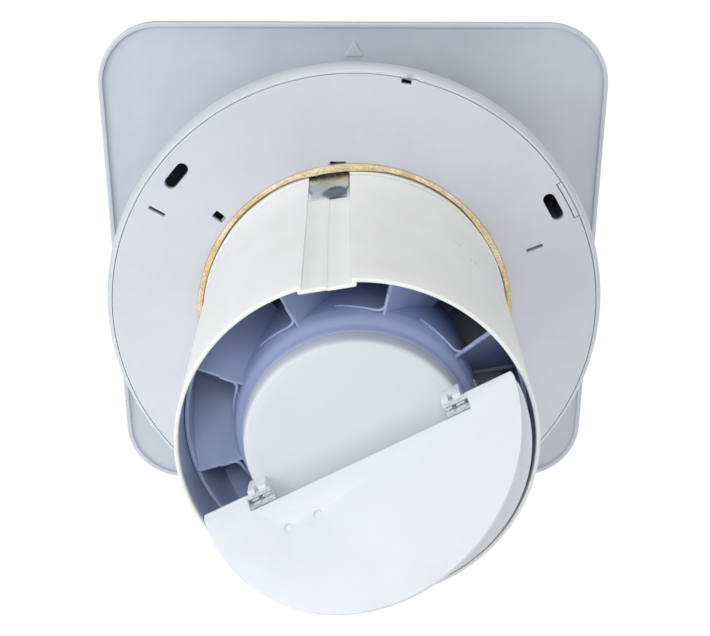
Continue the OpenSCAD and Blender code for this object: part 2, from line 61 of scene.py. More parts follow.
# How a noise pattern is stretched along each axis of the row frame.
EVEN: Point = (1.0, 1.0, 1.0)
ALONG_DUCT: Point = (1.0, 0.1, 1.0)
BRUSHED: Point = (1.0, 0.3, 1.0)

STAIN_COLOUR: Colour = (0.07, 0.10, 0.13)

# Distance from the wall, in metres, over which the painted blue-grey shade on the spigot's inner wall comes
# in.
BORE_SHADE_START, BORE_SHADE_FULL = 0.0925, 0.0905

# Degrees; sharper edges than this aren't smoothed.
SMOOTH_ANGLE = 35.0

# Millimetres.
WELD = 1e-5
TINY = 1e-9

# Half of a corner's angle, in radians, beyond which it isn't rounded.
STRAIGHT = math.radians(89.0)
FOLDED_BACK = 0.02

# Places round the duct axis, in degrees.
QUARTERS = (45.0, 135.0, 225.0, 315.0)
CHANNEL_ANGLE = 99.5
HINGE_TILT = 28.0

# The shutter's hinge: height of the pins, their distance from the middle and the posts' inner side.
HINGE_Z = 94.2
HINGE_OFFSET = 1.45
POST_IN = 26.6

# Section of a pressed pit, as radius and depth.
PIT_BOWL = ((1.42, 0.0), (1.32, 0.06), (1.28, 0.3), (1.1, 0.52), (0.7, 0.64), (0.3, 0.67))


class Body(Enum):
    """Rigid bodies that a piece may ride on."""

    FAN = "fan_body"
    COVER = "cover"
    ROTOR = "rotor"
    UPPER_LEAF = "upper_leaf"
    LOWER_LEAF = "lower_leaf"


class Slot(Enum):
    """Material slots of the record."""

    COVER = "cover_plastic"
    CASING = "casing_plastic"
    IVORY = "ivory_plastic"
    LEAF = "leaf_plastic"
    CAP = "cap_plastic"
    CARRIER = "carrier_plastic"
    IMPELLER = "impeller_plastic"
    RUBBER = "grey_rubber"
    FOAM = "ochre_foam"
    SPRING = "spring_steel"
    LAMINATION = "lamination_steel"
    ZINC = "zinc_steel"
    COPPER = "copper_wire"
    FUSE = "fuse_body"
    DIE_CAST = "die_cast"
    BRONZE = "bronze"
    BRASS = "brass_screw"


# ---------------------------------------------------------------- shader graph


class Signal:
    """A value on a shader socket; arithmetic on numbers adds Math nodes."""

    def __init__(self, graph: "Graph", socket: bpy.types.NodeSocket) -> None:
        """Keeps the graph and the socket."""
        self.graph = graph
        self.socket = socket

    def _math(self, operation: str, first: "Signal | float", second: "Signal | float") -> "Signal":
        """Adds one Math node for two values."""
        return self.graph.add("ShaderNodeMath", {"operation": operation}, {0: first, 1: second})

    def __add__(self, other: "Signal | float") -> "Signal":
        """Sum."""
        return self._math("ADD", self, other)

    def __radd__(self, other: float) -> "Signal":
        """Sum with a number on the left."""
        return self._math("ADD", other, self)

    def __sub__(self, other: "Signal | float") -> "Signal":
        """Difference."""
        return self._math("SUBTRACT", self, other)

    def __rsub__(self, other: float) -> "Signal":
        """Difference with a number on the left."""
        return self._math("SUBTRACT", other, self)

    def __mul__(self, other: "Signal | float") -> "Signal":
        """Product."""
        return self._math("MULTIPLY", self, other)


class Graph:
    """Node tree of one material, with its Principled shader."""

    def __init__(self, name: str) -> None:
        """Makes an empty material with an output and a Principled shader.

        Args:
            name: Name of the material.
        """
        self.material = bpy.data.materials.new(name)
        self.material.use_nodes = True
        self.tree = self.material.node_tree
        self.tree.nodes.clear()
        self.shader = self.add("ShaderNodeBsdfPrincipled", {}, {})
        self.add("ShaderNodeOutputMaterial", {}, {"Surface": self.shader})

    def add(
        self,
        kind: str,
        settings: Mapping[str, object],
        sockets: Mapping[str | int, object],
        output: str | int = 0,
    ) -> Signal:
        """Adds a node, sets it up and fills or links its sockets.

        Args:
            kind: Blender's type name of the node.
            settings: Properties that are set first.
            sockets: Values or signals, by the name or place of the input.
            output: Output that the returned signal stands for.

        Returns:
            The signal on that output.
        """
        node = self.tree.nodes.new(kind)
        for name, value in settings.items():
            setattr(node, name, value)
        for key, value in sockets.items():
            self._fill(node.inputs[key], value)
        outputs = node.outputs
        return Signal(self, outputs[output]) if len(outputs) else Signal(self, node.inputs[0])

    def _fill(self, target: bpy.types.NodeSocket, value: object) -> None:
        """Links a signal to an input, or sets the input's own value."""
        if isinstance(value, Signal):
            self.tree.links.new(value.socket, target)
        elif isinstance(value, tuple) and target.type == "RGBA":
            target.default_value = (*value, 1.0)
        else:
            target.default_value = value

    def set(self, **values: object) -> None:
        """Sets or links inputs of the Principled shader; an underscore in a name is a space."""
        inputs = self.shader.socket.node.inputs
        for name, value in values.items():
            self._fill(inputs[name.replace("_", " ")], value)

    def coords(self, stretch: Point = EVEN) -> Signal:
        """Place on the piece in the row frame, in metres, stretched along each axis."""
        place = self.add("ShaderNodeTexCoord", {}, {}, "Object")
        if stretch == EVEN:
            return place
        return self.add("ShaderNodeVectorMath", {"operation": "MULTIPLY"}, {0: place, 1: stretch})

    def cloud(self, size: float, detail: float = 2.0, stretch: Point = EVEN) -> Signal:
        """Smooth noise from 0 to 1.

        Args:
            size: Size of its patches in millimetres.
            detail: Number of finer layers.
            stretch: Factor on each axis of the row frame.

        Returns:
            The noise.
        """
        sockets = {"Vector": self.coords(stretch), "Scale": 1.0 / (size * MM), "Detail": detail}
        return self.add("ShaderNodeTexNoise", {}, sockets)

    def cells(self, size: float) -> Signal:
        """Distance pattern of irregular cells of a size in millimetres."""
        return self.add("ShaderNodeTexVoronoi", {}, {"Vector": self.coords(), "Scale": 1.0 / (size * MM)})

    def ramp(self, value: Signal, low: float, high: float) -> Signal:
        """Smooth step from 0 at low to 1 at high."""
        settings = {"interpolation_type": "SMOOTHSTEP", "clamp": True}
        return self.add("ShaderNodeMapRange", settings, {0: value, 1: low, 2: high, 3: 0.0, 4: 1.0})

    def mix(self, share: Signal, first: Signal | Colour, second: Signal | Colour) -> Signal:
        """Colour between two colours."""
        sockets = {0: share, 6: first, 7: second}
        return self.add("ShaderNodeMix", {"data_type": "RGBA"}, sockets, 2)

    def away_from(self, point: Point) -> Signal:
        """Distance in metres from a point of the drawing frame."""
        sockets = {0: self.coords(), 1: tuple(place(*point))}
        return self.add("ShaderNodeVectorMath", {"operation": "DISTANCE"}, sockets, "Value")

    def part(self, axis: str) -> Signal:
        """One coordinate of the row frame, in metres."""
        return self.add("ShaderNodeSeparateXYZ", {}, {0: self.coords()}, axis)

    def relief(self, height: Signal, depth: float) -> None:
        """Raises the surface by a height of 0 to 1 over a depth in millimetres."""
        sockets = {"Strength": 1.0, "Distance": depth * MM, "Height": height}
        self.set(Normal=self.add("ShaderNodeBump", {}, sockets))


# ---------------------------------------------------------------- finishes


@dataclass(frozen=True)
class Scuff:
    """A rubbed mark: its place in the drawing frame, its size in millimetres and its strength."""

    place: Point
    size: float
    strength: float


@dataclass(frozen=True)
class Moulded:
    """Moulded thermoplastic with faint flow marks, tool texture and small scuffs, and painted shade inside a
    bore where a colour for it is given.
    """

    colour: Colour
    shade: Colour
    roughness: float
    grain: float = 0.35
    depth: float = 0.006
    patch: float = 26.0
    translucency: float = 0.12
    coat: float = 0.0
    marks: Colour = (0.45, 0.43, 0.38)
    scuffs: tuple[Scuff, ...] = ()
    dust: float = 0.25
    # Colour of painted shade on the inner wall of a bore, standing in for the shade inside it.
    painted_bore_shade: Colour | None = None

    def build(self, name: str) -> bpy.types.Material:
        """Makes the material."""
        graph = Graph(name)
        flow = graph.cloud(self.patch, 3.0)
        streak = graph.cloud(6.0, 4.0, (1.0, 0.22, 1.0))
        grain = graph.cloud(self.grain, 2.0)
        tone = graph.ramp(flow * 0.7 + streak * 0.3, 0.36, 0.68)
        colour = graph.mix(tone, self.colour, self.shade)
        # Painted shade: inward-facing surfaces below the rim are tinted blue-grey to stand in for the shade
        # inside the bore.
        if self.painted_bore_shade:
            normal = graph.add("ShaderNodeNewGeometry", {}, {}, "Normal")
            sockets = {0: normal, 1: graph.coords((1.0, 0.0, 1.0))}
            out = graph.add("ShaderNodeVectorMath", {"operation": "DOT_PRODUCT"}, sockets, "Value")
            shade_below_rim = graph.ramp(graph.part("Y"), BORE_SHADE_START, BORE_SHADE_FULL)
            colour = graph.mix(graph.ramp(out, -0.01, -0.03) * shade_below_rim, colour, self.painted_bore_shade)
        specks = graph.ramp(graph.cells(2.4), 0.055, 0.02) * graph.ramp(graph.cloud(9.0), 0.50, 0.66)
        worn = specks * self.dust
        for scuff in self.scuffs:
            near = graph.ramp(graph.away_from(scuff.place), scuff.size * MM, scuff.size * MM * 0.25)
            broken = graph.ramp(graph.cloud(1.6, 4.0, (1.0, 0.35, 1.0)), 0.42, 0.62)
            worn = worn + near * broken * scuff.strength
        colour = graph.mix(worn, colour, self.marks)
        graph.set(Base_Color=colour)
        graph.set(Roughness=self.roughness + (streak - 0.5) * 0.12 + (grain - 0.5) * 0.05 + worn * 0.2)
        graph.set(IOR=1.47, Subsurface_Weight=self.translucency, Subsurface_Scale=0.0012)
        graph.set(Subsurface_Radius=(1.0, 0.9, 0.8), Coat_Weight=self.coat, Coat_Roughness=0.12)
        graph.relief(grain * 0.75 + streak * 0.25, self.depth)
        return graph.material


@dataclass(frozen=True)
class Foam:
    """Open-cell foam with torn pores, painted shade in the pores and darker, aged edges."""

    colour: Colour
    aged: Colour
    pore: float = 0.55

    def build(self, name: str) -> bpy.types.Material:
        """Makes the material."""
        graph = Graph(name)
        pores = graph.ramp(graph.cells(self.pore), 0.15, 0.55)
        fine = graph.cells(self.pore * 0.45)
        age = graph.ramp(graph.cloud(14.0, 3.0) * 0.65 + graph.cloud(2.2, 3.0) * 0.35, 0.38, 0.62)
        colour = graph.mix(age, self.colour, self.aged)
        # Painted shade: the bottoms of the pores are darkened to stand in for the shade inside them.
        colour = graph.mix((1.0 - pores) * 0.45, colour, tuple(c * 0.45 for c in self.aged))
        graph.set(Base_Color=colour, Roughness=0.86 + pores * 0.1, IOR=1.4)
        graph.set(Sheen_Weight=0.25, Sheen_Roughness=0.6, Subsurface_Weight=0.1, Subsurface_Scale=0.001)
        graph.relief(pores * 0.7 + fine * 0.3, 0.22)
        return graph.material


@dataclass(frozen=True)
class Metal:
    """Rolled, plated or sintered metal with streaks along one axis and fine pitting."""

    colour: Colour
    dull: Colour
    roughness: float
    streak: Point = EVEN
    pit: float = 0.3
    depth: float = 0.004
    stain: Scuff | None = None

    def build(self, name: str) -> bpy.types.Material:
        """Makes the material."""
        graph = Graph(name)
        lines = graph.cloud(0.5, 3.0, self.streak)
        pits = graph.cells(self.pit)
        dull = graph.ramp(graph.cloud(7.0, 3.0), 0.42, 0.70)
        colour = graph.mix(dull * 0.8, self.colour, self.dull)
        if self.stain:
            size = self.stain.size * MM
            near = graph.ramp(graph.away_from(self.stain.place) + lines * 0.001, size, size * 0.7)
            colour = graph.mix(near * self.stain.strength, colour, STAIN_COLOUR)
        graph.set(Base_Color=colour, Metallic=1.0)
        graph.set(Roughness=self.roughness + lines * 0.14 + dull * 0.12)
        graph.relief(lines * 0.7 + pits * 0.3, self.depth)
        return graph.material


@dataclass(frozen=True)
class Layered:
    """Stacked sheets or wound wire: fine even lines across one axis of the row frame."""

    colour: Colour
    groove: Colour
    pitch: float
    axis: str
    roughness: float
    metallic: float = 1.0

    def build(self, name: str) -> bpy.types.Material:
        """Makes the material."""
        graph = Graph(name)
        turn = graph.part(self.axis) * (2.0 * math.pi / (self.pitch * MM)) + graph.cloud(8.0) * 0.8
        wave = graph.add("ShaderNodeMath", {"operation": "SINE"}, {0: turn}) * 0.5 + 0.5
        body = graph.ramp(wave, 0.12, 0.45)
        stain = graph.ramp(graph.cloud(5.0, 3.0), 0.5, 0.75)
        colour = graph.mix(body, self.groove, self.colour)
        graph.set(Base_Color=graph.mix(stain * 0.4, colour, self.groove), Metallic=self.metallic)
        graph.set(Roughness=self.roughness + stain * 0.2)
        graph.relief(body, self.pitch * 0.12)
        return graph.material


@dataclass(frozen=True)
class Rubber:
    """Dull elastomer with bloom on its surface."""

    colour: Colour
    bloom: Colour

    def build(self, name: str) -> bpy.types.Material:
        """Makes the material."""
        graph = Graph(name)
        bloom = graph.ramp(graph.cloud(3.0, 4.0), 0.45, 0.7)
        graph.set(Base_Color=graph.mix(bloom, self.colour, self.bloom), Roughness=0.62 + bloom * 0.2)
        graph.relief(graph.cloud(0.25, 3.0), 0.01)
        return graph.material


Finish = Moulded | Foam | Metal | Layered | Rubber

FINISHES: dict[Slot, Finish] = {
    Slot.COVER: Moulded((0.575, 0.605, 0.665), (0.535, 0.565, 0.63), 0.34, depth=0.004, coat=0.1),
    Slot.CASING: Moulded((0.605, 0.625, 0.675), (0.575, 0.595, 0.645), 0.36, depth=0.004),
    Slot.IVORY: Moulded(
        (0.81, 0.82, 0.815),
        (0.785, 0.785, 0.76),
        0.42,
        depth=0.005,
        scuffs=(
            Scuff((34.5, 35.5, 44.0), 3.4, 0.55),
            Scuff((30.0, 39.4, 40.0), 2.6, 0.45),
            Scuff((-38.0, 31.7, 25.0), 2.8, 0.30),
        ),
        # Painted shade: the spigot's inner wall is tinted blue-grey to stand in for the shade inside the
        # bore.
        painted_bore_shade=(0.33, 0.39, 0.54),
    ),
    Slot.LEAF: Moulded((0.68, 0.70, 0.735), (0.655, 0.675, 0.715), 0.46, grain=0.28, depth=0.007),
    Slot.CAP: Moulded((0.66, 0.69, 0.735), (0.635, 0.665, 0.715), 0.48, grain=0.28, depth=0.007),
    # Painted shade: the carrier is white plastic, given a darker blue-grey colour to stand in for the shade
    # inside the bore.
    Slot.CARRIER: Moulded((0.48, 0.55, 0.76), (0.43, 0.50, 0.71), 0.40, grain=0.3, depth=0.005),
    Slot.IMPELLER: Moulded((0.55, 0.59, 0.66), (0.50, 0.54, 0.62), 0.38),
    Slot.RUBBER: Rubber((0.030, 0.030, 0.032), (0.075, 0.075, 0.078)),
    Slot.FOAM: Foam((0.90, 0.80, 0.58), (0.78, 0.56, 0.27)),
    Slot.SPRING: Metal(
        (0.72, 0.75, 0.77), (0.50, 0.55, 0.58), 0.16, ALONG_DUCT, stain=Scuff((-6.0, 48.0, 17.5), 5.6, 0.9)
    ),
    Slot.LAMINATION: Layered((0.36, 0.37, 0.40), (0.10, 0.09, 0.09), 0.5, "Y", 0.42),
    Slot.ZINC: Metal((0.74, 0.75, 0.78), (0.55, 0.55, 0.50), 0.24, BRUSHED),
    Slot.COPPER: Layered((0.72, 0.33, 0.12), (0.20, 0.07, 0.03), 0.32, "Y", 0.28, 0.85),
    Slot.FUSE: Moulded((0.34, 0.19, 0.10), (0.28, 0.15, 0.08), 0.45, translucency=0.0),
    Slot.DIE_CAST: Metal((0.60, 0.61, 0.63), (0.45, 0.46, 0.48), 0.36, pit=0.8, depth=0.03),
    Slot.BRONZE: Metal((0.56, 0.38, 0.17), (0.36, 0.24, 0.12), 0.38, pit=0.2, depth=0.012),
    Slot.BRASS: Metal((0.78, 0.60, 0.27), (0.52, 0.40, 0.20), 0.24, BRUSHED),
}


class Palette:
    """The finishes, built once each as materials."""

    def __init__(self) -> None:
        """Builds every material."""
        self.materials = {slot: finish.build(slot.value) for slot, finish in FINISHES.items()}

    def dress(self, piece: bpy.types.Object, slot: Slot) -> None:
        """Gives a piece one material and names its slot."""
        piece.data.materials.clear()
        piece.data.materials.append(self.materials[slot])

    def dress_node(self, node: str, slot: Slot) -> None:
        """Gives a CAD node that stays in view its material."""
        piece = frame["nodes"][node]
        if not piece.material_slots:
            piece.data.materials.append(None)
        for held in piece.material_slots:
            held.link = "OBJECT"
            held.material = self.materials[slot]
        LOG.info("dressed %s as %s", node, slot.value)


# ---------------------------------------------------------------- mesh making


def place(x: float, y: float, z: float) -> Vector:
    """Row-frame point in metres of a drawing-frame point in millimetres."""
    return Vector((-x, z, y)) * MM


def polar(r: float, degrees: float) -> Flat:
    """Flat point at a radius and an angle."""
    return r * math.cos(math.radians(degrees)), r * math.sin(math.radians(degrees))


def arc(centre: Flat, r: float, start: float, end: float, steps: int) -> list[Flat]:
    """Points of an arc, both ends included."""
    spokes = [polar(r, start + (end - start) * i / steps) for i in range(steps + 1)]
    return [(centre[0] + x, centre[1] + y) for x, y in spokes]


def box(x0: float, x1: float, y0: float, y1: float) -> list[Flat]:
    """Corners of a rectangle, anticlockwise from the low one."""
    return [(x0, y0), (x1, y0), (x1, y1), (x0, y1)]


def turned(points: Sequence[Flat], degrees: float) -> list[Flat]:
    """Flat points turned about the origin."""
    turn = Matrix.Rotation(math.radians(degrees), 2)
    return [tuple(turn @ Vector(p)) for p in points]


def between(first: Flat, last: Flat, share: float) -> Flat:
    """Flat point at a share of the way from one point to another."""
    return first[0] + (last[0] - first[0]) * share, first[1] + (last[1] - first[1]) * share


def clamped(value: float) -> float:
    """The value, held between 0 and 1."""
    return max(0.0, min(1.0, value))


def linked(name: str, data: bpy.types.ID) -> bpy.types.Object:
    """New object in the scene that holds the data."""
    held = bpy.data.objects.new(name, data)
    bpy.context.scene.collection.objects.link(held)
    return held


def filleted(
    points: Sequence[Flat],
    radii: float | Sequence[float],
    steps: int = 4,
    closed: bool = True,
    even: bool = False,
) -> list[Flat]:
    """Rounds the corners of a flat line.

    Args:
        points: Corners in order.
        radii: One radius for all corners, or one for each.
        steps: Pieces in each rounded corner.
        closed: Whether the last corner joins the first.
        even: Whether a straight corner still gets its full count of points.

    Returns:
        The rounded line's points.
    """
    count = len(points)
    wanted = [radii] * count if isinstance(radii, (int, float)) else list(radii)
    made: list[Flat] = []
    for i, point in enumerate(points):
        if wanted[i] <= 0 or (not closed and i in (0, count - 1)):
            made.append(point)
            continue
        here = Vector(point)
        back, ahead = Vector(points[i - 1]) - here, Vector(points[(i + 1) % count]) - here
        half = back.angle(ahead, math.pi) / 2
        if half > STRAIGHT or half < FOLDED_BACK:
            made.extend([point] * (steps + 1 if even else 1))
            continue
        run = min(wanted[i] / math.tan(half), back.length * 0.48, ahead.length * 0.48)
        r = run * math.tan(half)
        middle = here + (back.normalized() + ahead.normalized()).normalized() * (r / math.sin(half))
        first, last = here + back.normalized() * run - middle, here + ahead.normalized() * run - middle
        sweep = first.angle_signed(last) if first.length > TINY else 0.0
        for k in range(steps + 1):
            spoke = Matrix.Rotation(-sweep * k / steps, 2) @ first
            made.append((middle.x + spoke.x, middle.y + spoke.y))
    return made


def inset(outline: Sequence[Flat], depth: float) -> list[Flat]:
    """Moves a closed anticlockwise outline inward by a small depth."""
    count = len(outline)
    made: list[Flat] = []
    for i in range(count):
        before = Vector(outline[i]) - Vector(outline[i - 1])
        after = Vector(outline[(i + 1) % count]) - Vector(outline[i])
        ahead = Vector((-after.y, after.x)).normalized()
        normal = Vector((-before.y, before.x)).normalized() + ahead
        if min(before.length, after.length) < TINY or normal.length < 1e-6:
            made.append(outline[i])
            continue
        normal.normalize()
        scale = max(0.35, normal.dot(ahead))
        made.append((outline[i][0] + normal.x * depth / scale, outline[i][1] + normal.y * depth / scale))
    return made


class Maker:
    """Collects the shells of one piece in millimetres and turns them into an object."""

    def __init__(self, name: str) -> None:
        """Starts an empty piece."""
        self.name = name
        self.mesh = bmesh.new()

    def loft(
        self, rings: Sequence[Sequence[Point]], wrap: bool = False, caps: bool = True, loop: bool = True
    ) -> list[list[bmesh.types.BMVert]]:
        """Joins rings of equal length with faces.

        Args:
            rings: Rings of points in the drawing frame.
            wrap: Whether the last ring joins the first.
            caps: Whether the end rings are filled.
            loop: Whether each ring is closed.

        Returns:
            The vertices of each ring.
        """
        made = [[self.mesh.verts.new(p) for p in ring] for ring in rings]
        pairs = list(zip(made, made[1:])) + ([(made[-1], made[0])] if wrap else [])
        for low, high in pairs:
            count = len(low)
            for i in range(count if loop else count - 1):
                j = (i + 1) % count
                self.mesh.faces.new((low[i], low[j], high[j], high[i]))
        if caps and not wrap:
            self.mesh.faces.new(list(reversed(made[0])))
            self.mesh.faces.new(made[-1])
        return made

    def pitted(self, rim: Sequence[bmesh.types.BMVert], pits: Sequence[Flat], z: float) -> None:
        """Closes a plate's lower face, with round-bottomed pits pressed into it.

        Args:
            rim: Vertices round the face.
            pits: Centres of the pits.
            z: Height of the face.
        """
        edges = [self.mesh.edges.get((a, b)) for a, b in zip(rim, [*rim[1:], rim[0]])]
        for pit in pits:
            rings = [[(x, y, z + depth) for x, y in arc(pit, r, 0.0, 348.75, 31)] for r, depth in PIT_BOWL]
            made = self.loft(rings, caps=False)
            self.mesh.faces.new(made[-1])
            edges += [self.mesh.edges.get((a, b)) for a, b in zip(made[0], [*made[0][1:], made[0][0]])]
        bmesh.ops.triangle_fill(self.mesh, use_beauty=True, use_dissolve=False, edges=edges)

    def lathe(
        self, section: Sequence[Flat], segments: int, at: Flat = (0.0, 0.0), closed: bool = True
    ) -> None:
        """Turns a section of (radius, z) about an axis along z.

        Args:
            section: Points of the section; a radius of 0 closes the shape on its axis.
            segments: Pieces round the turn.
            at: Place of the axis.
            closed: Whether the section is a closed loop, as for a ring.
        """
        made = []
        for k in range(segments):
            c, s = polar(1.0, 360.0 * k / segments)
            made.append([self.mesh.verts.new((at[0] + r * c, at[1] + r * s, z)) for r, z in section])
        count = len(section)
        for k in range(segments):
            here, ahead = made[k], made[(k + 1) % segments]
            for i in range(count if closed else count - 1):
                j = (i + 1) % count
                self.mesh.faces.new((here[i], ahead[i], ahead[j], here[j]))

    def part_turn(self, section: Sequence[Flat], middle: float, half_gap: float) -> None:
        """Turns a section of (radius, z) about the duct axis, except for a gap.

        Args:
            section: Points of the section.
            middle: Angle of the gap's middle, in degrees.
            half_gap: Half of the gap, in degrees.
        """
        rings = []
        for k in range(181):
            c, s = polar(1.0, middle + half_gap + (360.0 - 2 * half_gap) * k / 180)
            rings.append([(r * c, r * s, z) for r, z in section])
        self.loft(rings)

    def slab(
        self,
        outline: Sequence[Flat],
        z0: float,
        z1: float,
        edge: float,
        move: Matrix | None = None,
        pits: Sequence[Flat] = (),
    ) -> None:
        """Makes a plate with rounded edges from a closed anticlockwise outline.

        Args:
            outline: Points of its plan.
            z0: Lower face.
            z1: Upper face.
            edge: Radius of the rounded edges.
            move: Matrix that puts the plate in place.
            pits: Centres of round pits in the lower face.
        """
        rings: list[list[Point]] = []
        for base, sign in ((z0, 1.0), (z1, -1.0)):
            levels = []
            for turn in (0.0, 30.0, 60.0, 90.0):
                c, s = polar(edge, turn)
                height = base + sign * (edge - c)
                levels.append([(x, y, height) for x, y in inset(outline, edge - s)])
            rings.extend(levels if sign > 0 else reversed(levels))
        if move is not None:
            rings = [[tuple(move @ Vector(p)) for p in ring] for ring in rings]
        made = self.loft(rings, caps=not pits)
        if pits:
            self.mesh.faces.new(made[-1])
            self.pitted(made[0], pits, z0)

    def rod(self, path: Sequence[Vector], radius: float | Callable[[float], float], sides: int = 12) -> None:
        """Makes a round rod along a line of points.

        Args:
            path: Points of the centre line.
            radius: Radius, or a function of the share of the length that gives it.
            sides: Pieces round the rod.
        """
        rings = []
        last = len(path) - 1
        up = Vector((0.0, 0.0, 1.0))
        for i, point in enumerate(path):
            along = (path[min(i + 1, last)] - path[max(i - 1, 0)]).normalized()
            if abs(along.dot(up)) > 0.95:
                up = Vector((1.0, 0.0, 0.0))
            side = along.cross(up).normalized()
            top = side.cross(along).normalized()
            up = top
            r = radius(i / last) if callable(radius) else radius
            turn = [2 * math.pi * k / sides for k in range(sides)]
            rings.append([tuple(point + (side * math.cos(a) + top * math.sin(a)) * r) for a in turn])
        self.loft(rings)

    def warp(self, change: Callable[[Vector], Vector]) -> None:
        """Moves every point made so far."""
        for vertex in self.mesh.verts:
            vertex.co = change(vertex.co.copy())

    def finish(self, smooth: float = SMOOTH_ANGLE) -> bpy.types.Object:
        """Puts the piece in the row frame and returns its object.

        Args:
            smooth: Edges sharper than this angle stay sharp.

        Returns:
            The object, at the origin.
        """
        bmesh.ops.remove_doubles(self.mesh, verts=self.mesh.verts, dist=WELD)
        bmesh.ops.dissolve_degenerate(self.mesh, edges=self.mesh.edges, dist=1e-6)
        for vertex in self.mesh.verts:
            vertex.co = place(*vertex.co)
        bmesh.ops.recalc_face_normals(self.mesh, faces=self.mesh.faces)
        mesh = bpy.data.meshes.new(self.name)
        self.mesh.to_mesh(mesh)
        self.mesh.free()
        piece = linked(self.name, mesh)
        shade(piece, smooth)
        return piece


def shade(piece: bpy.types.Object, angle: float) -> None:
    """Smooths a piece but keeps edges sharper than the angle."""
    piece.data.shade_smooth()
    piece.data.set_sharp_from_angle(angle=math.radians(angle))


def cut(piece: bpy.types.Object, tools: Sequence[bpy.types.Object], smooth: float = SMOOTH_ANGLE) -> None:
    """Cuts tools out of a piece and removes them.

    Args:
        piece: The piece that is cut.
        tools: Closed meshes.
        smooth: Edges sharper than this angle stay sharp.
    """
    for tool in tools:
        modifier = piece.modifiers.new("cut", "BOOLEAN")
        modifier.operation = "DIFFERENCE"
        modifier.solver = "EXACT"
        modifier.object = tool
    settle(piece)
    for tool in tools:
        bpy.data.objects.remove(tool)
    shade(piece, smooth)


def settle(piece: bpy.types.Object) -> None:
    """Applies the modifiers of a piece."""
    graph = bpy.context.evaluated_depsgraph_get()
    made = bpy.data.meshes.new_from_object(piece.evaluated_get(graph))
    piece.modifiers.clear()
    old = piece.data
    piece.data = made
    bpy.data.meshes.remove(old)


def sheet_with_holes(
    name: str, outlines: Sequence[Sequence[Flat]], z0: float, z1: float, edge: float
) -> bpy.types.Object:
    """Flat sheet from an outline and its holes, with rounded edges all round.

    Args:
        name: Name of the object.
        outlines: The outer line and then the holes.
        z0: Lower face.
        z1: Upper face.
        edge: Radius of the rounded edges.

    Returns:
        The mesh object, in the row frame.
    """
    curve = bpy.data.curves.new(name, "CURVE")
    curve.dimensions = "2D"
    curve.fill_mode = "BOTH"
    curve.extrude = (z1 - z0) / 2 - edge
    curve.bevel_depth = edge
    curve.bevel_resolution = 2
    curve.offset = -edge
    for outline in outlines:
        spline = curve.splines.new("POLY")
        spline.points.add(len(outline) - 1)
        for held, (x, y) in zip(spline.points, outline):
            held.co = (x, y, 0.0, 1.0)
        spline.use_cyclic_u = True
    source = linked(name, curve)
    graph = bpy.context.evaluated_depsgraph_get()
    mesh = bpy.data.meshes.new_from_object(source.evaluated_get(graph))
    bpy.data.objects.remove(source)
    for vertex in mesh.vertices:
        x, y, z = vertex.co
        vertex.co = place(x, y, z + (z0 + z1) / 2)
    piece = linked(name, mesh)
    shade(piece, SMOOTH_ANGLE)
    return piece


def joined(name: str, parts: Sequence[bpy.types.Object]) -> bpy.types.Object:
    """One object from several, all at the origin."""
    made = bmesh.new()
    for part in parts:
        made.from_mesh(part.data)
        bpy.data.objects.remove(part)
    mesh = bpy.data.meshes.new(name)
    made.to_mesh(mesh)
    made.free()
    piece = linked(name, mesh)
    shade(piece, SMOOTH_ANGLE)
    return piece


@dataclass
class Assembly:
    """Sub-assembly that dresses, places and reports its pieces in one way."""

    palette: Palette

    def commit(self, piece: bpy.types.Object, body: Body, slot: Slot, *nodes: str) -> bpy.types.Object:
        """Dresses a piece, lets it ride on its body and reports it.

        Args:
            piece: The finished object.
            body: The body that it rides on.
            slot: The material slot that it takes its finish from.
            nodes: CAD nodes that it stands for.

        Returns:
            The piece.
        """
        self.palette.dress(piece, slot)
        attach(piece, body.value)
        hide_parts(*nodes)
        LOG.info("built %s for %s, %d faces", piece.name, ", ".join(nodes), len(piece.data.polygons))
        return piece


# ---------------------------------------------------------------- room side


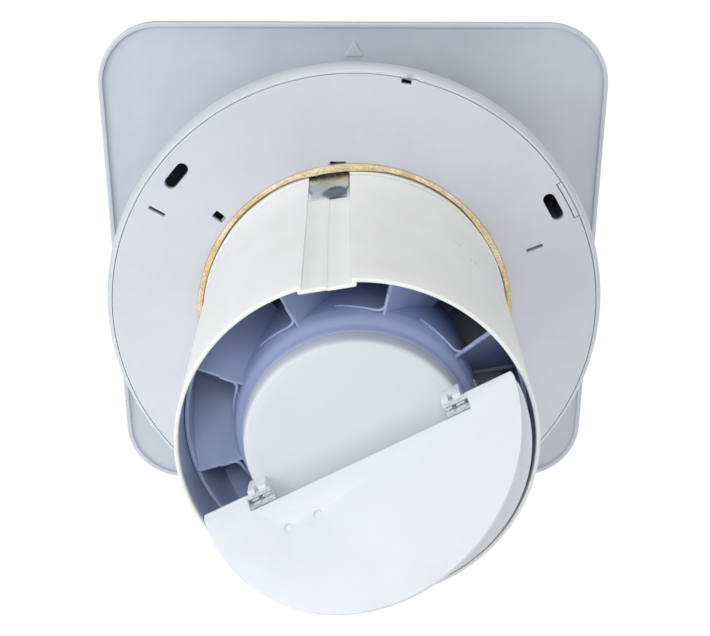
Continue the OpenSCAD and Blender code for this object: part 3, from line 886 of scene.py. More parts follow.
@dataclass
class CoverPanel(Assembly):
    """Square cover panel with rounded corners, a lip round its back and four posts."""

    width: float = 174.0
    corner: float = 21.5
    front: float = -50.5
    back: float = -46.5
    lip_top: float = -44.9
    lip_width: float = 1.6
    edge: float = 3.0
    post_place: float = 65.0
    post_r: float = 3.5
    post_end: float = -30.0

    def square(self, depth: float, z: float) -> list[Point]:
        """Rounded square at a depth in from the edge, as a ring."""
        r = max(self.corner - depth, 0.5)
        shrink = min(0.0, self.corner - depth - 0.5)
        reach = math.sqrt(2) * (self.width / 2 - self.corner + shrink)
        ring: list[Point] = []
        for start in (0.0, 90.0, 180.0, 270.0):
            bend = arc(polar(reach, start + 45.0), r, start, start + 90.0, 14)
            ahead = arc(polar(reach, start + 135.0), r, start + 90.0, start + 90.0, 1)[0]
            ring.extend((x, y, z) for x, y in bend)
            ring.extend((*between(bend[-1], ahead, k / 8), z) for k in range(1, 8))
        return ring

    def build(self) -> None:
        """Builds the panel with its posts and raised mark."""
        maker = Maker("CoverPanel")
        levels = [(40.0, self.front), (14.0, self.front + 0.06), (5.0, self.front + 0.22)]
        for turn in range(0, 91, 15):
            c, s = polar(self.edge, turn)
            levels.append((self.edge - s, self.front + 0.3 + self.edge - c))
        top, inner = self.lip_top, self.lip_width
        levels += [(0.0, top - 0.45), (0.12, top - 0.12), (0.45, top)]
        levels += [(inner - 0.45, top), (inner - 0.12, top - 0.12), (inner, top - 0.45)]
        levels += [(inner, self.back + 0.5), (inner + 0.15, self.back + 0.15), (inner + 0.6, self.back)]
        levels += [(12.0, self.back), (30.0, self.back)]
        maker.loft([self.square(depth, z) for depth, z in levels])
        r, root, end = self.post_r, self.back, self.post_end
        post = [
            (0.0, root - 0.5), (r + 1.4, root - 0.5), (r + 1.4, root), (r + 0.5, root + 0.35),
            (r, root + 1.2), (r, end - 4.6), (r - 0.7, end - 4.1), (r - 0.7, end - 2.9),
            (r, end - 2.3), (r - 0.5, end - 0.9), (r - 1.5, end), (0.0, end),
        ]
        for angle in QUARTERS:
            maker.lathe(post, 32, polar(self.post_place, angle), closed=False)
        low = self.width / 2 - 11.4
        mark = filleted([(-3.4, low), (3.4, low), (0.0, low + 5.3)], 0.5)
        maker.slab(mark, self.back - 0.3, self.back + 0.55, 0.2)
        self.commit(maker.finish(), Body.COVER, Slot.COVER, "front_cover")


@dataclass
class InletGrille(Assembly):
    """Grille of rings and spokes over the mouth."""

    first: float = 9.0
    step: float = 8.2
    bar: float = 1.6
    rim: float = 57.0
    z0: float = -38.4
    z1: float = -36.2
    rings: int = 6
    spokes: int = 6
    spoke_half: float = 0.95

    def ring(self, maker: Maker, r0: float, r1: float) -> None:
        """Adds one ring with rounded edges."""
        maker.lathe(filleted(box(r0, r1, self.z0, self.z1), 0.5, 3), 96)

    def build(self) -> None:
        """Builds the rings, the rim and six spokes."""
        maker = Maker("InletGrille")
        for k in range(self.rings):
            r = self.first + k * self.step
            self.ring(maker, r, r + self.bar)
        self.ring(maker, self.rim - 4.0, self.rim)
        bar = box(self.first, self.rim - 2.5, -self.spoke_half, self.spoke_half)
        for k in range(self.spokes):
            turn = Matrix.Rotation(math.radians(360.0 * k / self.spokes), 4, "Z")
            maker.slab(filleted(bar, 0.6, 2), self.z0 + 0.05, self.z1 - 0.05, 0.45, turn)
        self.commit(maker.finish(), Body.FAN, Slot.COVER, "inlet_grille")


# ---------------------------------------------------------------- casing


@dataclass
class Casing(Assembly):
    """Round casing that rolls inward into the mouth, with its backplate."""

    seat_r: float = 80.4
    face: float = -36.0
    bore_r: float = 48.3
    funnel_end: float = -4.8
    funnel_wall: float = 2.0
    inner_r: float = 79.4
    taper_r: float = 76.4
    pillar_place: float = 68.0
    post_place: float = 65.0
    plate_r: float = 80.2
    plate_t: float = 2.4
    latch: float = 78.5
    knock: float = 30.4
    notch: Point = (-2.8, -7.9, 52.6)
    tool_start: float = -40.0
    seat_hole_r: float = 52.0
    slot_place: float = 74.0
    slot_width: float = 3.9
    slot_length: float = 9.7
    pillars: tuple[float, ...] = (62.0, 118.0, 242.0, 298.0)
    screw_slots: tuple[float, ...] = (30.6, 139.7, 225.0, 315.0)

    def shell(self) -> None:
        """Builds the turned shell with its pillars and cuts its holes."""
        maker = Maker("CasingShell")
        seat, taper, face = self.seat_r, self.taper_r, self.face
        roll = (57.0, face + 8.7)
        outside = filleted(
            [
                (seat, -0.02), (seat + 0.75, -0.1), (seat + 1.8, -2.2), (seat + 2.2, -5.8),
                (seat + 1.3, -10.0), (taper, face + 4.0), (taper - 1.8, face + 1.4), (taper - 4.4, face),
                (57.5, face),
            ],
            [0.15, 0.5, 5.0, 9.0, 12.0, 5.0, 3.0, 2.5, 0.0], 5, closed=False,
        )
        rolled = arc(roll, 8.7, -90.0, -180.0, 10)
        outer = self.bore_r + self.funnel_wall
        funnel = [(self.bore_r, -12.0), (self.bore_r, self.funnel_end)]
        funnel += [(outer, self.funnel_end), (outer, roll[1] + 0.3)]
        back = arc(roll, 6.5, 180.0, 270.0, 10)
        inside = [(taper - 4.9, face + 2.2), (taper - 2.2, face + 4.0), (self.inner_r, -10.0)]
        inside += [(self.inner_r, -2.5), (seat, -2.5)]
        maker.lathe(outside + rolled + funnel + back + inside, 256)
        piece = maker.finish(30.0)
        recess, hollow = box(0.0, 3.4, self.tool_start, -33.5), box(0.0, 5.0, self.tool_start, -32.0)
        tools = [self.tool(polar(self.pillar_place, angle), recess) for angle in self.pillars]
        tools += [self.tool(polar(self.post_place, angle), hollow) for angle in QUARTERS]
        scoop = arc((0.0, 1.0), 2.6, -90.0, 90.0, 12)
        tools.append(self.tool(polar(81.2, self.latch - 1.5), [(max(x, 0.0), y) for x, y in scoop]))
        hole = Maker("hole")
        side = Vector((*polar(1.0, 8.0), 0.0))
        start = Vector((0.0, 0.0, -11.6))
        hole.rod([start + side * 47.3, start + side * 53.3], 1.6, 24)
        tools.append(hole.finish())
        cut(piece, tools, 30.0)
        maker = Maker("pillars")
        tube = [(1.9, -33.5), (3.4, -33.5), (3.4, -34.4), (3.6, -34.4), (3.6, -10.7), (1.9, -10.7)]
        for angle in self.pillars:
            maker.lathe(tube, 32, polar(self.pillar_place, angle))
        whole = joined("CasingShell", [piece, maker.finish()])
        self.commit(whole, Body.FAN, Slot.CASING, "casing")

    @staticmethod
    def tool(at: Flat, section: Sequence[Flat]) -> bpy.types.Object:
        """Closed turned shape that a hole is cut with."""
        maker = Maker("tool")
        maker.lathe(section, 40, at, closed=False)
        return maker.finish()

    def seat_line(self, r: float) -> list[Flat]:
        """Circle about the duct axis with the square notch in its top edge."""
        right, left, top = self.notch
        first = math.degrees(math.acos(right / r))
        last = math.degrees(math.acos(left / r))
        made: list[Flat] = [polar(r, last + (360.0 + first - last) * k / 220) for k in range(221)]
        return made + [(right, top), (left, top)]

    def notched(self, point: Vector) -> Vector:
        """Draws a point of the seat's floor in where the notch runs through it."""
        right, left, _ = self.notch
        if left < point.x < right and point.y > 51.2:
            return Vector((point.x, 51.2, point.z))
        return point

    def slot(self, angle: float) -> list[Flat]:
        """Screw slot with round ends that runs round the circle."""
        r, end = self.slot_place, self.slot_width / 2
        half = self.slot_length / 2 - end
        return turned(arc((r, half), end, 0.0, 180.0, 10) + arc((r, -half), end, 180.0, 360.0, 10), angle)

    def window(self, r0: float, r1: float, width: float, angle: float, corner: float) -> list[Flat]:
        """Narrow opening that runs along a radius."""
        return turned(filleted(box(r0, r1, -width / 2, width / 2), corner, 3), angle)

    def rim_line(self) -> list[Flat]:
        """Outer line of the plate, with the latch notch and the knock-out's opening."""
        made: list[Flat] = []
        angle = 0.0
        gaps = [
            (self.latch, math.degrees(1.6 / self.plate_r), 1.6),
            (self.knock, math.degrees(6.65 / self.plate_r), 1.8),
        ]
        while angle < 360.0:
            held = [gap for gap in gaps if abs(angle - gap[0]) < gap[1] + 0.4]
            if held:
                centre, half, depth = held[0]
                made.append(polar(self.plate_r, centre - half))
                made += [polar(self.plate_r - depth, centre - half + 2 * half * k / 6) for k in range(7)]
                made.append(polar(self.plate_r, centre + half))
                angle = centre + half + 0.6
                continue
            made.append(polar(self.plate_r, angle))
            angle += 1.0
        return made

    def plate(self) -> None:
        """Builds the backplate with its openings, bosses and gasket seat."""
        holes = [
            self.rim_line(),
            self.seat_line(self.seat_hole_r),
            *(self.slot(angle) for angle in self.screw_slots),
            self.window(70.2, 75.8, 1.1, 150.2, 0.25),
            self.window(60.4, 65.9, 1.1, 22.1, 0.25),
            self.window(53.6, 57.4, 2.6, 141.7, 0.4),
        ]
        top = sheet_with_holes("plate_top", holes, -self.plate_t, 0.0, 0.22)
        maker = Maker("plate_under")
        maker.lathe(filleted(box(50.25, 52.2, -self.plate_t, -1.0), 0.15, 2), 400)
        maker.warp(self.notched)
        bite = -self.plate_t + 0.1
        boss = filleted(box(1.7, 3.6, -10.4, bite), 0.2, 2)
        for angle in self.pillars:
            maker.lathe(boss, 32, polar(self.pillar_place, angle))
        lug = filleted(box(56.0, 63.0, -23.0, -18.4), 0.4, 2)
        maker.slab(lug, -8.0, bite, 0.2)
        self.commit(joined("Backplate", [top, maker.finish()]), Body.FAN, Slot.CASING, "backplate")

    def knockout(self) -> None:
        """Builds the small break-out piece at the rim."""
        half = math.degrees(6.4 / self.plate_r)
        low, high = self.knock - half, self.knock + half
        outer = [polar(self.plate_r, low + (high - low) * k / 14) for k in range(15)]
        inner = [polar(self.plate_r - 1.55, high - (high - low) * k / 14) for k in range(15)]
        maker = Maker("CableKnockout")
        maker.slab(outer + inner, -self.plate_t, 0.0, 0.2)
        self.commit(maker.finish(), Body.FAN, Slot.CASING, "cable_knockout")

    def build(self) -> None:
        """Builds the casing's three pieces."""
        self.shell()
        self.plate()
        self.knockout()


# ---------------------------------------------------------------- duct spigot


@dataclass
class DuctSpigot(Assembly):
    """Long round spigot with its flat channel, steel spring and foam gasket."""

    outer_r: float = 49.5
    wall: float = 1.2
    length: float = 93.0
    flange_r: float = 54.0
    flange_z: float = -4.4
    channel_w: float = 13.0
    floor: float = 47.9
    step: float = 0.35
    step_half: float = 3.0
    foam_in: float = 50.1
    foam_out: float = 51.98
    foam_low: float = -0.93
    foam_top: float = 2.98
    clip_t: float = 0.42
    clip_half: float = 6.1
    foam: tuple[Flat, ...] = (
        (0.0, 0.35), (12.0, 0.55), (24.0, 1.0), (34.0, 0.95), (48.0, 0.45), (62.0, 0.4), (78.0, 0.55),
        (90.0, 0.95), (104.0, 0.9), (114.0, 0.35), (140.0, 0.3), (150.0, 0.8), (165.0, 0.9), (180.0, 0.5),
        (270.0, 0.5), (360.0, 0.35),
    )

    def outline(self, grow: float, lift: float = 0.0) -> list[Flat]:
        """Outer line of the wall; grow moves it inward to give the inner line.

        Args:
            grow: Depth inward of the outer line, in millimetres.
            lift: Extra radius outside the channel, as at the collar and the groove.

        Returns:
            The line's points, anticlockwise, always the same number of them.
        """
        r = self.outer_r - grow + lift
        half = self.channel_w / 2 + grow
        floor = self.floor - grow
        low = math.degrees(math.asin(half / r))
        made = [polar(r, low + (360.0 - 2 * low) * k / 239) for k in range(1, 239)]
        side = math.sqrt(max(r * r - half * half, 0.0))
        mid = self.step_half
        deep = self.step if grow < 0.9 else 0.0
        line = [
            (side, -half), (floor - deep, -half), (floor - deep, -mid), (floor - deep, 0.0),
            (floor, 0.0), (floor, mid), (floor, half), (side, half),
        ]
        made += filleted(line, [0.0, 0.35, 0.0, 1.5, 1.5, 0.0, 0.35, 0.0], 3, closed=False, even=True)
        return turned(made, CHANNEL_ANGLE)

    def tube(self) -> None:
        """Builds the tube, its rounded rim and its flange."""
        maker = Maker("DuctSpigot")
        rim, wall = self.length, self.wall
        foot = [
            (self.flange_z, 0.55), (2.75, 0.55), (3.0, 0.3), (3.0, -0.6), (4.0, -0.6), (4.0, -0.12),
            (4.12, 0.0),
        ]
        outside = [(z, 0.0) for z in (12.0, 24.0, 36.0, 48.0, 60.0, 72.0, 84.0)]
        outside += [(rim - 0.45, 0.0), (rim - 0.16, 0.09), (rim - 0.03, 0.3), (rim, 0.5)]
        inside = [(rim, wall - 0.5), (rim - 0.03, wall - 0.3), (rim - 0.16, wall - 0.09), (rim - 0.45, wall)]
        inside += [(z, wall) for z in (80.0, 40.0, 0.0, self.flange_z)]
        rings = [[(x, y, z) for x, y in self.outline(0.0, lift)] for z, lift in foot]
        rings += [[(x, y, z) for x, y in self.outline(depth)] for z, depth in outside + inside]
        maker.loft(rings, wrap=True)
        flange = filleted(box(49.2, self.flange_r, self.flange_z, -2.55), 0.3, 2)
        maker.part_turn(flange, CHANNEL_ANGLE, math.degrees(self.channel_w / 2 / self.outer_r))
        self.commit(maker.finish(28.0), Body.FAN, Slot.IVORY, "spigot")

    def gasket(self) -> None:
        """Builds the foam ring with its uneven, torn edge."""
        maker = Maker("FoamGasket")
        section = filleted(box(self.foam_in, self.foam_out, self.foam_low, self.foam_top), 0.3, 3)
        dense: list[Flat] = []
        for i, point in enumerate(section):
            ahead = section[(i + 1) % len(section)]
            count = max(1, int((Vector(ahead) - Vector(point)).length / 0.5))
            dense += [between(point, ahead, k / count) for k in range(count)]
        maker.lathe(dense, 420)

        def tear(point: Vector) -> Vector:
            """Draws the foam's inner face out and its top down by an uneven amount."""
            r = math.hypot(point.x, point.y)
            turn = math.degrees(math.atan2(point.y, point.x)) % 360.0
            full = self.fullness(turn)
            inner = clamped((51.7 - r) / 1.4) * clamped(point.z + 0.6)
            coarse = noise.noise(point * 0.16) * 0.5 + 0.5
            fine = noise.noise(point * 0.9 + Vector((7.0, 0.0, 0.0))) * 0.5 + 0.5
            push = inner * min(1.0, (1.0 - full) * 0.8 + 0.18 * coarse * (1.0 - full) + 0.1 * fine)
            top = clamped((point.z - 0.1) / 2.6)
            sink = top * min(2.75, (1.0 - full) * 2.6 + 0.3 * coarse + 0.2 * fine)
            scale = (r + push) / r
            return Vector((point.x * scale, point.y * scale, point.z - sink))

        maker.warp(tear)
        piece = self.commit(maker.finish(60.0), Body.FAN, Slot.FOAM, "foam_gasket")

    def fullness(self, turn: float) -> float:
        """Share of its full size that the foam keeps at an angle round the spigot."""
        for (a0, f0), (a1, f1) in zip(self.foam, self.foam[1:]):
            if a0 <= turn <= a1:
                return f0 + (f1 - f0) * (turn - a0) / (a1 - a0)
        return self.foam[0][1]

    def spring(self) -> None:
        """Builds the bent steel strip that lies in the channel."""
        maker = Maker("SpringClip")
        base = self.floor + 1.0
        line = [
            (base + 2.9, -2.85), (base + 0.9, -2.85), (base, -2.5), (base - 0.02, 1.0), (base + 0.03, 6.0),
            (base + 0.04, 11.0), (base + 0.02, 13.4), (base - 0.5, 14.8), (base - 0.6, 18.4),
            (base - 0.74, 20.9),
        ]
        rounded = filleted(line, [0.0, 0.3, 0.5, 4.0, 6.0, 3.0, 0.5, 0.7, 3.0, 0.0], 5, closed=False)
        turn = Matrix.Rotation(math.radians(CHANNEL_ANGLE), 3, "Z")
        rings = []
        for i, point in enumerate(rounded):
            along = Vector(rounded[min(i + 1, len(rounded) - 1)]) - Vector(rounded[max(i - 1, 0)])
            normal = Vector((along.y, -along.x)).normalized() * (self.clip_t / 2)
            here = Vector(point)
            width = self.clip_half - 0.7 * clamped((point[1] - 13.2) / 1.4)
            bevel = width - 0.1
            corners = [(1.0, -bevel), (1.0, bevel), (0.4, width), (-0.4, width)]
            corners += [(-1.0, bevel), (-1.0, -bevel), (-0.4, -width), (0.4, -width)]
            flat = [(here + normal * side, across) for side, across in corners]
            rings.append([tuple(turn @ Vector((p.x, across, p.y))) for p, across in flat])
        maker.loft(rings)
        self.commit(maker.finish(40.0), Body.FAN, Slot.SPRING, "spring_clip")

    def build(self) -> None:
        """Builds the spigot's three pieces."""
        self.tube()
        self.gasket()
        self.spring()


# ---------------------------------------------------------------- motor carrier


@dataclass
class MotorCarrier(Assembly):
    """Motor cup held in the bore by ramped guide vanes and a ring, with its cap."""

    cup_r: float = 34.5
    cap_r: float = 31.0
    floor: float = 50.0
    shoulder: float = 79.0
    cup_top: float = 85.0
    cap_top: float = 90.7
    ring_r: float = 48.15
    ring_t: float = 1.15
    ring_z: float = 55.0
    vanes: int = 9
    phase: float = 78.0
    pitch: float = 42.0
    vane_t: float = 1.3
    vane_r: float = 41.0
    vane_depth: float = 22.0
    post_out: float = 32.2
    finger_top: float = 95.55
    socket_r: float = 0.87
    channel_half: float = 8.2

    def cup(self, maker: Maker) -> None:
        """Adds the cup, which flares smoothly from its shoulder up to the cap."""
        r, cap, floor, shoulder, top = self.cup_r, self.cap_r, self.floor, self.shoulder, self.cup_top
        outside = [(8.0, floor), (r - 1.5, floor), (r, floor + 1.5), (r, shoulder - 2.5)]
        outside += [(r - 0.75, shoulder + 1.2), (cap + 1.15, top - 2.4), (cap + 0.6, top)]
        inside = [(cap - 1.0, top), (cap - 0.7, top - 2.2), (r - 2.8, shoulder + 1.0)]
        inside += [(r - 1.6, shoulder - 2.0), (r - 1.6, floor + 2.0), (8.0, floor + 2.0)]
        radii = [0.3, 1.2, 1.2, 4.0, 6.0, 4.0, 0.3, 0.3, 0.8, 1.0, 1.0, 1.0, 0.3]
        maker.lathe(filleted(outside + inside, radii, 5), 180)

    def ring(self, maker: Maker) -> None:
        """Adds the outer ring, which leaves a gap for the channel."""
        wall = box(self.ring_r - self.ring_t, self.ring_r, self.ring_z, self.shoulder - 1.0)
        maker.part_turn(filleted(wall, 0.4, 3), CHANNEL_ANGLE, math.degrees(self.channel_half / self.ring_r))

    def ramp_turn(self, drop: float, r: float) -> float:
        """Angle in degrees that a vane has run round at a depth below its outlet edge."""
        eased = drop - 1.6 * (1.0 - math.exp(-drop / 1.6)) * 0.55
        return math.degrees(eased * math.tan(math.radians(self.pitch)) / r)

    def vane(self, maker: Maker, angle: float) -> None:
        """Adds one ramped vane with a rounded outlet edge and a root fillet."""
        root, tip = self.cup_r - 0.6, self.ring_r - self.ring_t + 0.3
        radii = [root + (tip - root) * k / 8 for k in range(9)]
        lean = math.radians(self.pitch)
        side = math.degrees(self.vane_t / 2 * math.cos(lean) / self.vane_r)
        rise = self.vane_t / 2 * math.sin(lean)

        def row(drop: float, turn: float, lift: float) -> list[Point]:
            """Points from root to tip at a depth below the outlet edge, turned and raised."""
            run = angle - self.ramp_turn(drop, self.vane_r) + turn
            return [(*polar(r, run), self.shoulder - 0.6 - drop + lift) for r in radii]

        drops = [self.vane_depth * (k / 12) ** 1.25 for k in range(13)]
        rings = [row(0.0, 0.0, 0.55), row(0.0, side * 0.75, 0.30 - rise * 0.3)]
        rings += [row(drop, side, -rise) for drop in drops]
        rings += [row(drop, -side, rise) for drop in reversed(drops)]
        rings.append(row(0.0, -side * 0.75, 0.38 + rise * 0.3))
        maker.loft(rings, wrap=True, caps=False, loop=False)

    def lip(self, maker: Maker, angle: float) -> None:
        """Adds the raised edge that runs from the vane's root along the cup."""
        path = [Vector((*polar(40.6 - k * 0.9, angle), self.shoulder - 0.25)) for k in range(5)]
        for k in range(7):
            share = k / 6
            c, s = polar(1.0, 90.0 * share)
            bend = angle + math.degrees(2.4 * (1 - c) / 35.0)
            path.append(Vector((*polar(37.0 - 2.0 * s, bend), self.shoulder - 0.3 - 0.5 * share)))
        for k in range(1, 11):
            share = k / 10
            flat = polar(34.95 - 0.25 * share, angle + 3.93 + 18.0 * share)
            path.append(Vector((*flat, self.shoulder - 0.8 - 4.2 * share)))
        maker.rod(path, lambda share: 0.55 * (1.0 - 0.45 * share), 10)

    def carrier(self) -> None:
        """Builds the cup, ring and vanes as one moulding."""
        maker = Maker("MotorCarrier")
        self.cup(maker)
        self.ring(maker)
        for k in range(self.vanes):
            angle = self.phase + 360.0 * k / self.vanes
            self.vane(maker, angle)
            self.lip(maker, angle)
        self.commit(maker.finish(50.0), Body.FAN, Slot.CARRIER, "motor_carrier")

    def post(self, maker: Maker, side: int) -> None:
        """Adds one hinge post: a foot, two fingers and the small hooks that hold the pins."""
        turn = Matrix.Rotation(math.radians(HINGE_TILT), 4, "Z")
        low, high = sorted((side * POST_IN, side * self.post_out))
        foot = filleted(box(low, high, -3.55, 3.55), 0.5, 2)
        maker.slab(foot, self.cap_top - 1.6, self.cap_top + 1.5, 0.3, turn)
        for y_side in (-1, 1):
            y_low, y_high = sorted((y_side * 0.35, y_side * 3.5))
            section = self.finger(y_low, y_high, y_side)
            for ends in ((low + 0.05, low + 2.0), (high - 2.3, high - 0.05)):
                maker.loft([[tuple(turn @ Vector((x, y, z))) for y, z in section] for x in ends])
            web = filleted(box(low + 1.9, high - 2.2, y_low + 0.2, y_high - 0.3), 0.2, 2)
            maker.slab(web, self.cap_top, self.cap_top + 2.3, 0.15, turn)

    def finger(self, y_low: float, y_high: float, y_side: int) -> list[Flat]:
        """Side view of a finger with the round socket that opens at its top.

        Args:
            y_low: Its lower side.
            y_high: Its upper side.
            y_side: 1 or -1, the side of the duct axis that it stands on.

        Returns:
            The section's points, as (y, z).
        """
        foot, top = self.cap_top, self.finger_top
        centre = HINGE_OFFSET * y_side
        bowl = arc((centre, HINGE_Z), self.socket_r, 140.0, 400.0, 12)
        slant_low, slant_high = (0.2, 0.6) if y_side > 0 else (0.6, 0.2)
        line = [(y_low, foot), (y_high, foot), (y_high, top - 0.7), (y_high - slant_high, top)]
        line += [(centre + 0.72, top), *reversed(bowl), (centre - 0.72, top)]
        return line + [(y_low + slant_low, top), (y_low, top - 0.7)]

    def cap(self) -> None:
        """Builds the smooth cap with its two hinge posts."""
        maker = Maker("MotorCap")
        r, top, skirt = self.cap_r, self.cap_top, self.cup_top + 0.1
        section = [(0.0, top), (20.0, top), (r - 3.0, top - 0.02), (r - 1.0, top - 0.2)]
        section += [(r - 0.35, top - 0.55), (r, top - 1.3), (r + 0.25, top - 3.2), (r + 0.55, skirt)]
        section += [(r - 1.0, skirt), (r - 1.6, top - 1.8), (0.0, top - 1.8)]
        radii = [0.0, 0.0, 4.0, 1.2, 0.8, 1.2, 3.0, 0.2, 0.2, 0.5, 0.0]
        maker.lathe(filleted(section, radii, 4, closed=False), 180, closed=False)
        self.post(maker, 1)
        self.post(maker, -1)
        self.commit(maker.finish(40.0), Body.FAN, Slot.CAP, "motor_cap")

    def build(self) -> None:
        """Builds the carrier and the cap."""
        self.carrier()
        self.cap()


# ---------------------------------------------------------------- shutter


@dataclass
class Shutter(Assembly):
    """Two half-disc leaves, each on its own moulded pins."""

    leaf_r: float = 47.0
    thick: float = 1.5
    edge: float = 0.25
    pin_r: float = 0.8
    bead_r: float = 0.9
    ear: float = 33.3
    notch: float = 4.4
    folded: float = 126.0
    dimples: tuple[Flat, ...] = ((-24.2, 13.7), (-15.3, 13.7))

    def outline(self) -> list[Flat]:
        """Plan of a leaf, with its hinge line along x through the origin."""
        reach = math.sqrt(self.leaf_r**2 - HINGE_OFFSET**2)
        start = math.degrees(math.asin(HINGE_OFFSET / self.leaf_r))
        rim = arc((0.0, -HINGE_OFFSET), self.leaf_r, start + 1.6, 180.0 - start - 1.6, 96)
        line = [(self.ear, 0.0), (reach - 0.05, 0.0), *rim, (-reach + 0.05, 0.0), (-self.ear, 0.0)]
        line += [(-self.ear, self.notch), (self.ear, self.notch)]
        radii = [0.45, 0.9] + [0.0] * len(rim) + [0.9, 0.45, 0.7, 0.7]
        return filleted(line, radii, 4)

    def leaf(self, name: str, pits: Sequence[Flat] = ()) -> Maker:
        """Makes one leaf about its own hinge line, before it is put in place."""
        maker = Maker(name)
        half = self.thick / 2
        maker.slab(self.outline(), -half, half, self.edge, pits=pits)
        reach = self.leaf_r - 0.3
        for side in (-1, 1):
            bead = [Vector((side * x, 0.0, 0.0)) for x in (self.ear + 0.1, reach - 0.4, reach)]
            maker.rod(bead, lambda share: self.bead_r if share < 0.9 else self.bead_r * 0.7, 20)
            pin = [Vector((side * x, 0.0, 0.0)) for x in (POST_IN - 0.3, POST_IN, self.ear + 0.8)]
            maker.rod(pin, lambda share: self.pin_r if share > 0.1 else self.pin_r * 0.75, 20)
        return maker

    def placed(self, maker: Maker, fold: float, turn: float) -> bpy.types.Object:
        """Turns a leaf about its pins and then about the duct axis."""
        swing = Matrix.Rotation(math.radians(fold), 4, "X")
        whole = Matrix.Rotation(math.radians(HINGE_TILT + turn), 4, "Z")
        rise = Matrix.Translation((0.0, HINGE_OFFSET, HINGE_Z))
        matrix = whole @ rise @ swing
        maker.warp(lambda point: matrix @ point)
        return maker.finish(40.0)

    def build(self) -> None:
        """Builds both leaves."""
        upper = self.placed(self.leaf("UpperLeaf", self.dimples), self.folded, 0.0)
        self.commit(upper, Body.UPPER_LEAF, Slot.LEAF, "flap_upper")
        lower = self.placed(self.leaf("LowerLeaf"), 0.0, 180.0)
        self.commit(lower, Body.LOWER_LEAF, Slot.LEAF, "flap_lower")


# ---------------------------------------------------------------- impeller


@dataclass
class Impeller(Assembly):
    """Axial impeller with twisted, cambered blades on a round hub."""

    tip_r: float = 45.4
    hub_r: float = 19.5
    front: float = 14.0
    back: float = 45.0
    blades: int = 7
    root_pitch: float = 44.0
    tip_pitch: float = 62.0
    shaft_r: float = 2.04
    chord: float = 27.0
    sweep: float = 9.0
    camber: float = 2.0

    def hub(self, maker: Maker) -> None:
        """Adds the hub with its hollow back and boss."""
        r, front, back = self.hub_r, self.front, self.back
        section = [
            (self.shaft_r, front), (9.0, front), (14.0, front + 1.5), (r - 1.5, front + 4.5),
            (r, front + 8.0), (r, back), (r - 1.6, back), (r - 1.6, front + 9.0),
            (r - 4.0, front + 6.0), (6.0, front + 4.0),
            (5.0, front + 22.0), (self.shaft_r, front + 22.0),
        ]
        radii = [0.2, 4.0, 3.0, 3.0, 4.0, 0.4, 0.4, 2.0, 2.0, 1.0, 0.4, 0.2]
        maker.lathe(filleted(section, radii, 4), 96)

    def blade(self, maker: Maker, angle: float) -> None:
        """Adds one blade as a stack of curved sections from root to tip."""
        rings: list[list[Point]] = []
        middle = (self.front + self.back) / 2 + 1.5
        root = self.hub_r - 0.8
        for i in range(13):
            share = i / 12
            r = root + (self.tip_r - root) * share
            pitch = math.radians(self.root_pitch + (self.tip_pitch - self.root_pitch) * share)
            chord = self.chord + 4.0 * math.sin(math.pi * share * 0.8)
            sweep = self.sweep * share * share
            ring: list[Point] = []
            for side in (1, -1):
                for k in range(11):
                    t = k / 10 if side > 0 else 1.0 - k / 10
                    along = (t - 0.5) * chord
                    camber = self.camber * math.sin(math.pi * t)
                    body = 0.28 + 0.62 * math.sqrt(max(math.sin(math.pi * t), 0.0))
                    across = camber + side * body
                    run = along * math.sin(pitch) + across * math.cos(pitch)
                    z = middle + along * math.cos(pitch) - across * math.sin(pitch)
                    flat = polar(r, angle + sweep - math.degrees(run / r))
                    ring.append((*flat, min(max(z, self.front + 4.2), self.back - 1.2)))
            rings.append(ring)
        maker.loft(rings)

    def build(self) -> None:
        """Builds the impeller."""
        maker = Maker("Impeller")
        self.hub(maker)
        for k in range(self.blades):
            self.blade(maker, 360.0 * k / self.blades)
        self.commit(maker.finish(45.0), Body.ROTOR, Slot.IMPELLER, "impeller")


# ---------------------------------------------------------------- kept CAD nodes


class InnerParts(Assembly):
    """CAD nodes that stay as they are and take a finish."""

    def build(self) -> None:
        """Dresses every kept node with the slot that the record names for it."""
        named = {part["node"]: Slot(part["material_slot"]) for part in frame["record"]["subparts"]}
        for node, piece in sorted(frame["nodes"].items()):
            if not piece.hide_render:
                self.palette.dress_node(node, named[node])


# ---------------------------------------------------------------- studio


@dataclass(frozen=True)
class Softbox:
    """Rectangular area light: its place and aim in metres, its size in metres and its power in watts."""

    name: str
    where: Point
    aim: Point
    size: Flat
    power: float
    tint: Colour

    def build(self) -> None:
        """Makes the light."""
        data = bpy.data.lights.new(self.name, "AREA")
        data.shape = "RECTANGLE"
        data.size, data.size_y = self.size
        data.energy = self.power
        data.color = self.tint
        held = linked(self.name, data)
        held.location = self.where
        held.rotation_euler = (Vector(self.aim) - Vector(self.where)).to_track_quat("-Z", "Y").to_euler()


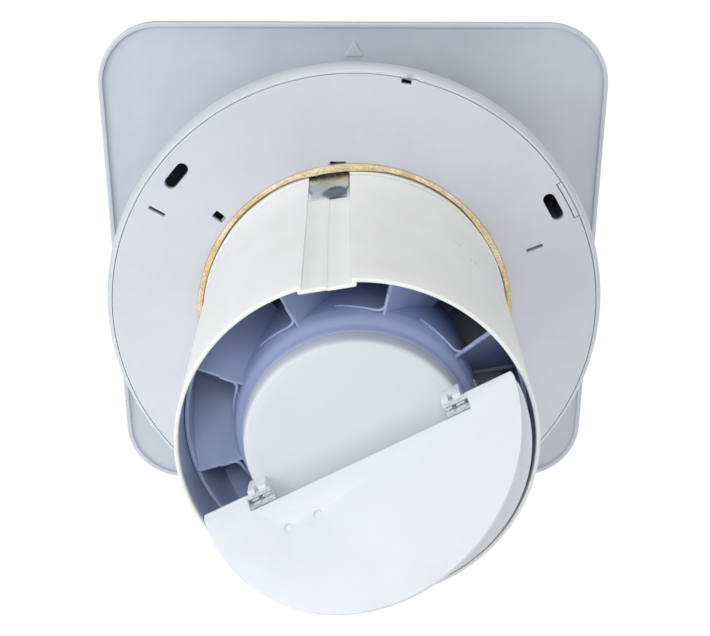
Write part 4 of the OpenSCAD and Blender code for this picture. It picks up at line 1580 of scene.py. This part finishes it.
@dataclass
class Studio:
    """Camera, soft lights and a plain pale floor."""

    place: Point = (0.00302, 0.40704, 0.17117)
    turn: Point = (63.306, -0.392, 178.829)
    lens: float = 67.1
    shift: Flat = (-0.0274, 0.124)
    floor_z: float = -0.0872
    surround: Colour = (0.93, 0.965, 1.0)
    surround_strength: float = 0.30
    lights: tuple[Softbox, ...] = (
        Softbox("KeyLight", (-0.1, 0.18, 1.4), (0.0, 0.03, 0.0), (0.8, 0.8), 8.5, (1.0, 0.99, 0.97)),
        Softbox("FrontLight", (0.05, 0.75, 0.5), (0.0, 0.05, 0.0), (0.3, 0.3), 2.0, (1.0, 1.0, 1.0)),
        Softbox("SideLight", (0.42, 0.32, 0.14), (0.0, 0.03, 0.0), (0.3, 0.3), 1.1, (0.92, 0.96, 1.0)),
    )

    def camera(self) -> None:
        """Makes the camera."""
        data = bpy.data.cameras.new("StudioCamera")
        data.lens = self.lens
        data.sensor_width = 36.0
        data.shift_x, data.shift_y = self.shift
        data.clip_start = 0.01
        held = linked("StudioCamera", data)
        held.location = self.place
        held.rotation_euler = tuple(math.radians(a) for a in self.turn)
        bpy.context.scene.camera = held

    def floor(self) -> None:
        """Makes the white floor, which glows a little so that it stays even."""
        graph = Graph("studio_floor")
        graph.set(Base_Color=(0.08, 0.08, 0.08), Roughness=1.0, Specular_IOR_Level=0.0)
        graph.set(Emission_Color=(1.0, 1.0, 1.0), Emission_Strength=1.0)
        maker = Maker("StudioFloor")
        half, z = 4000.0, self.floor_z / MM
        lines = (-half, -half / 3, half / 3, half)
        rings = [[(x, z, y) for x in lines] for y in lines]
        maker.loft(rings, caps=False, loop=False)
        held = maker.finish()
        held.data.materials.append(graph.material)
        if held.data.polygons[0].normal.z < 0:
            held.data.flip_normals()

    def world(self) -> None:
        """Makes the pale surround."""
        world = bpy.data.worlds.new("StudioWorld")
        bpy.context.scene.world = world
        world.use_nodes = True
        background = world.node_tree.nodes["Background"]
        background.inputs["Color"].default_value = (*self.surround, 1.0)
        background.inputs["Strength"].default_value = self.surround_strength

    def build(self) -> None:
        """Sets up the whole studio."""
        bpy.context.scene.view_settings.view_transform = "Standard"
        self.camera()
        self.world()
        self.floor()
        for light in self.lights:
            light.build()
        LOG.info("studio ready")


def main() -> None:
    """Builds the studio and every piece in order."""
    logging.basicConfig(level=logging.INFO, format="%(name)s: %(message)s")
    Studio().build()
    palette = Palette()
    for part in (CoverPanel, InletGrille, Casing, DuctSpigot, MotorCarrier, Shutter, Impeller, InnerParts):
        part(palette).build()


if __name__ == "__main__":
    main()
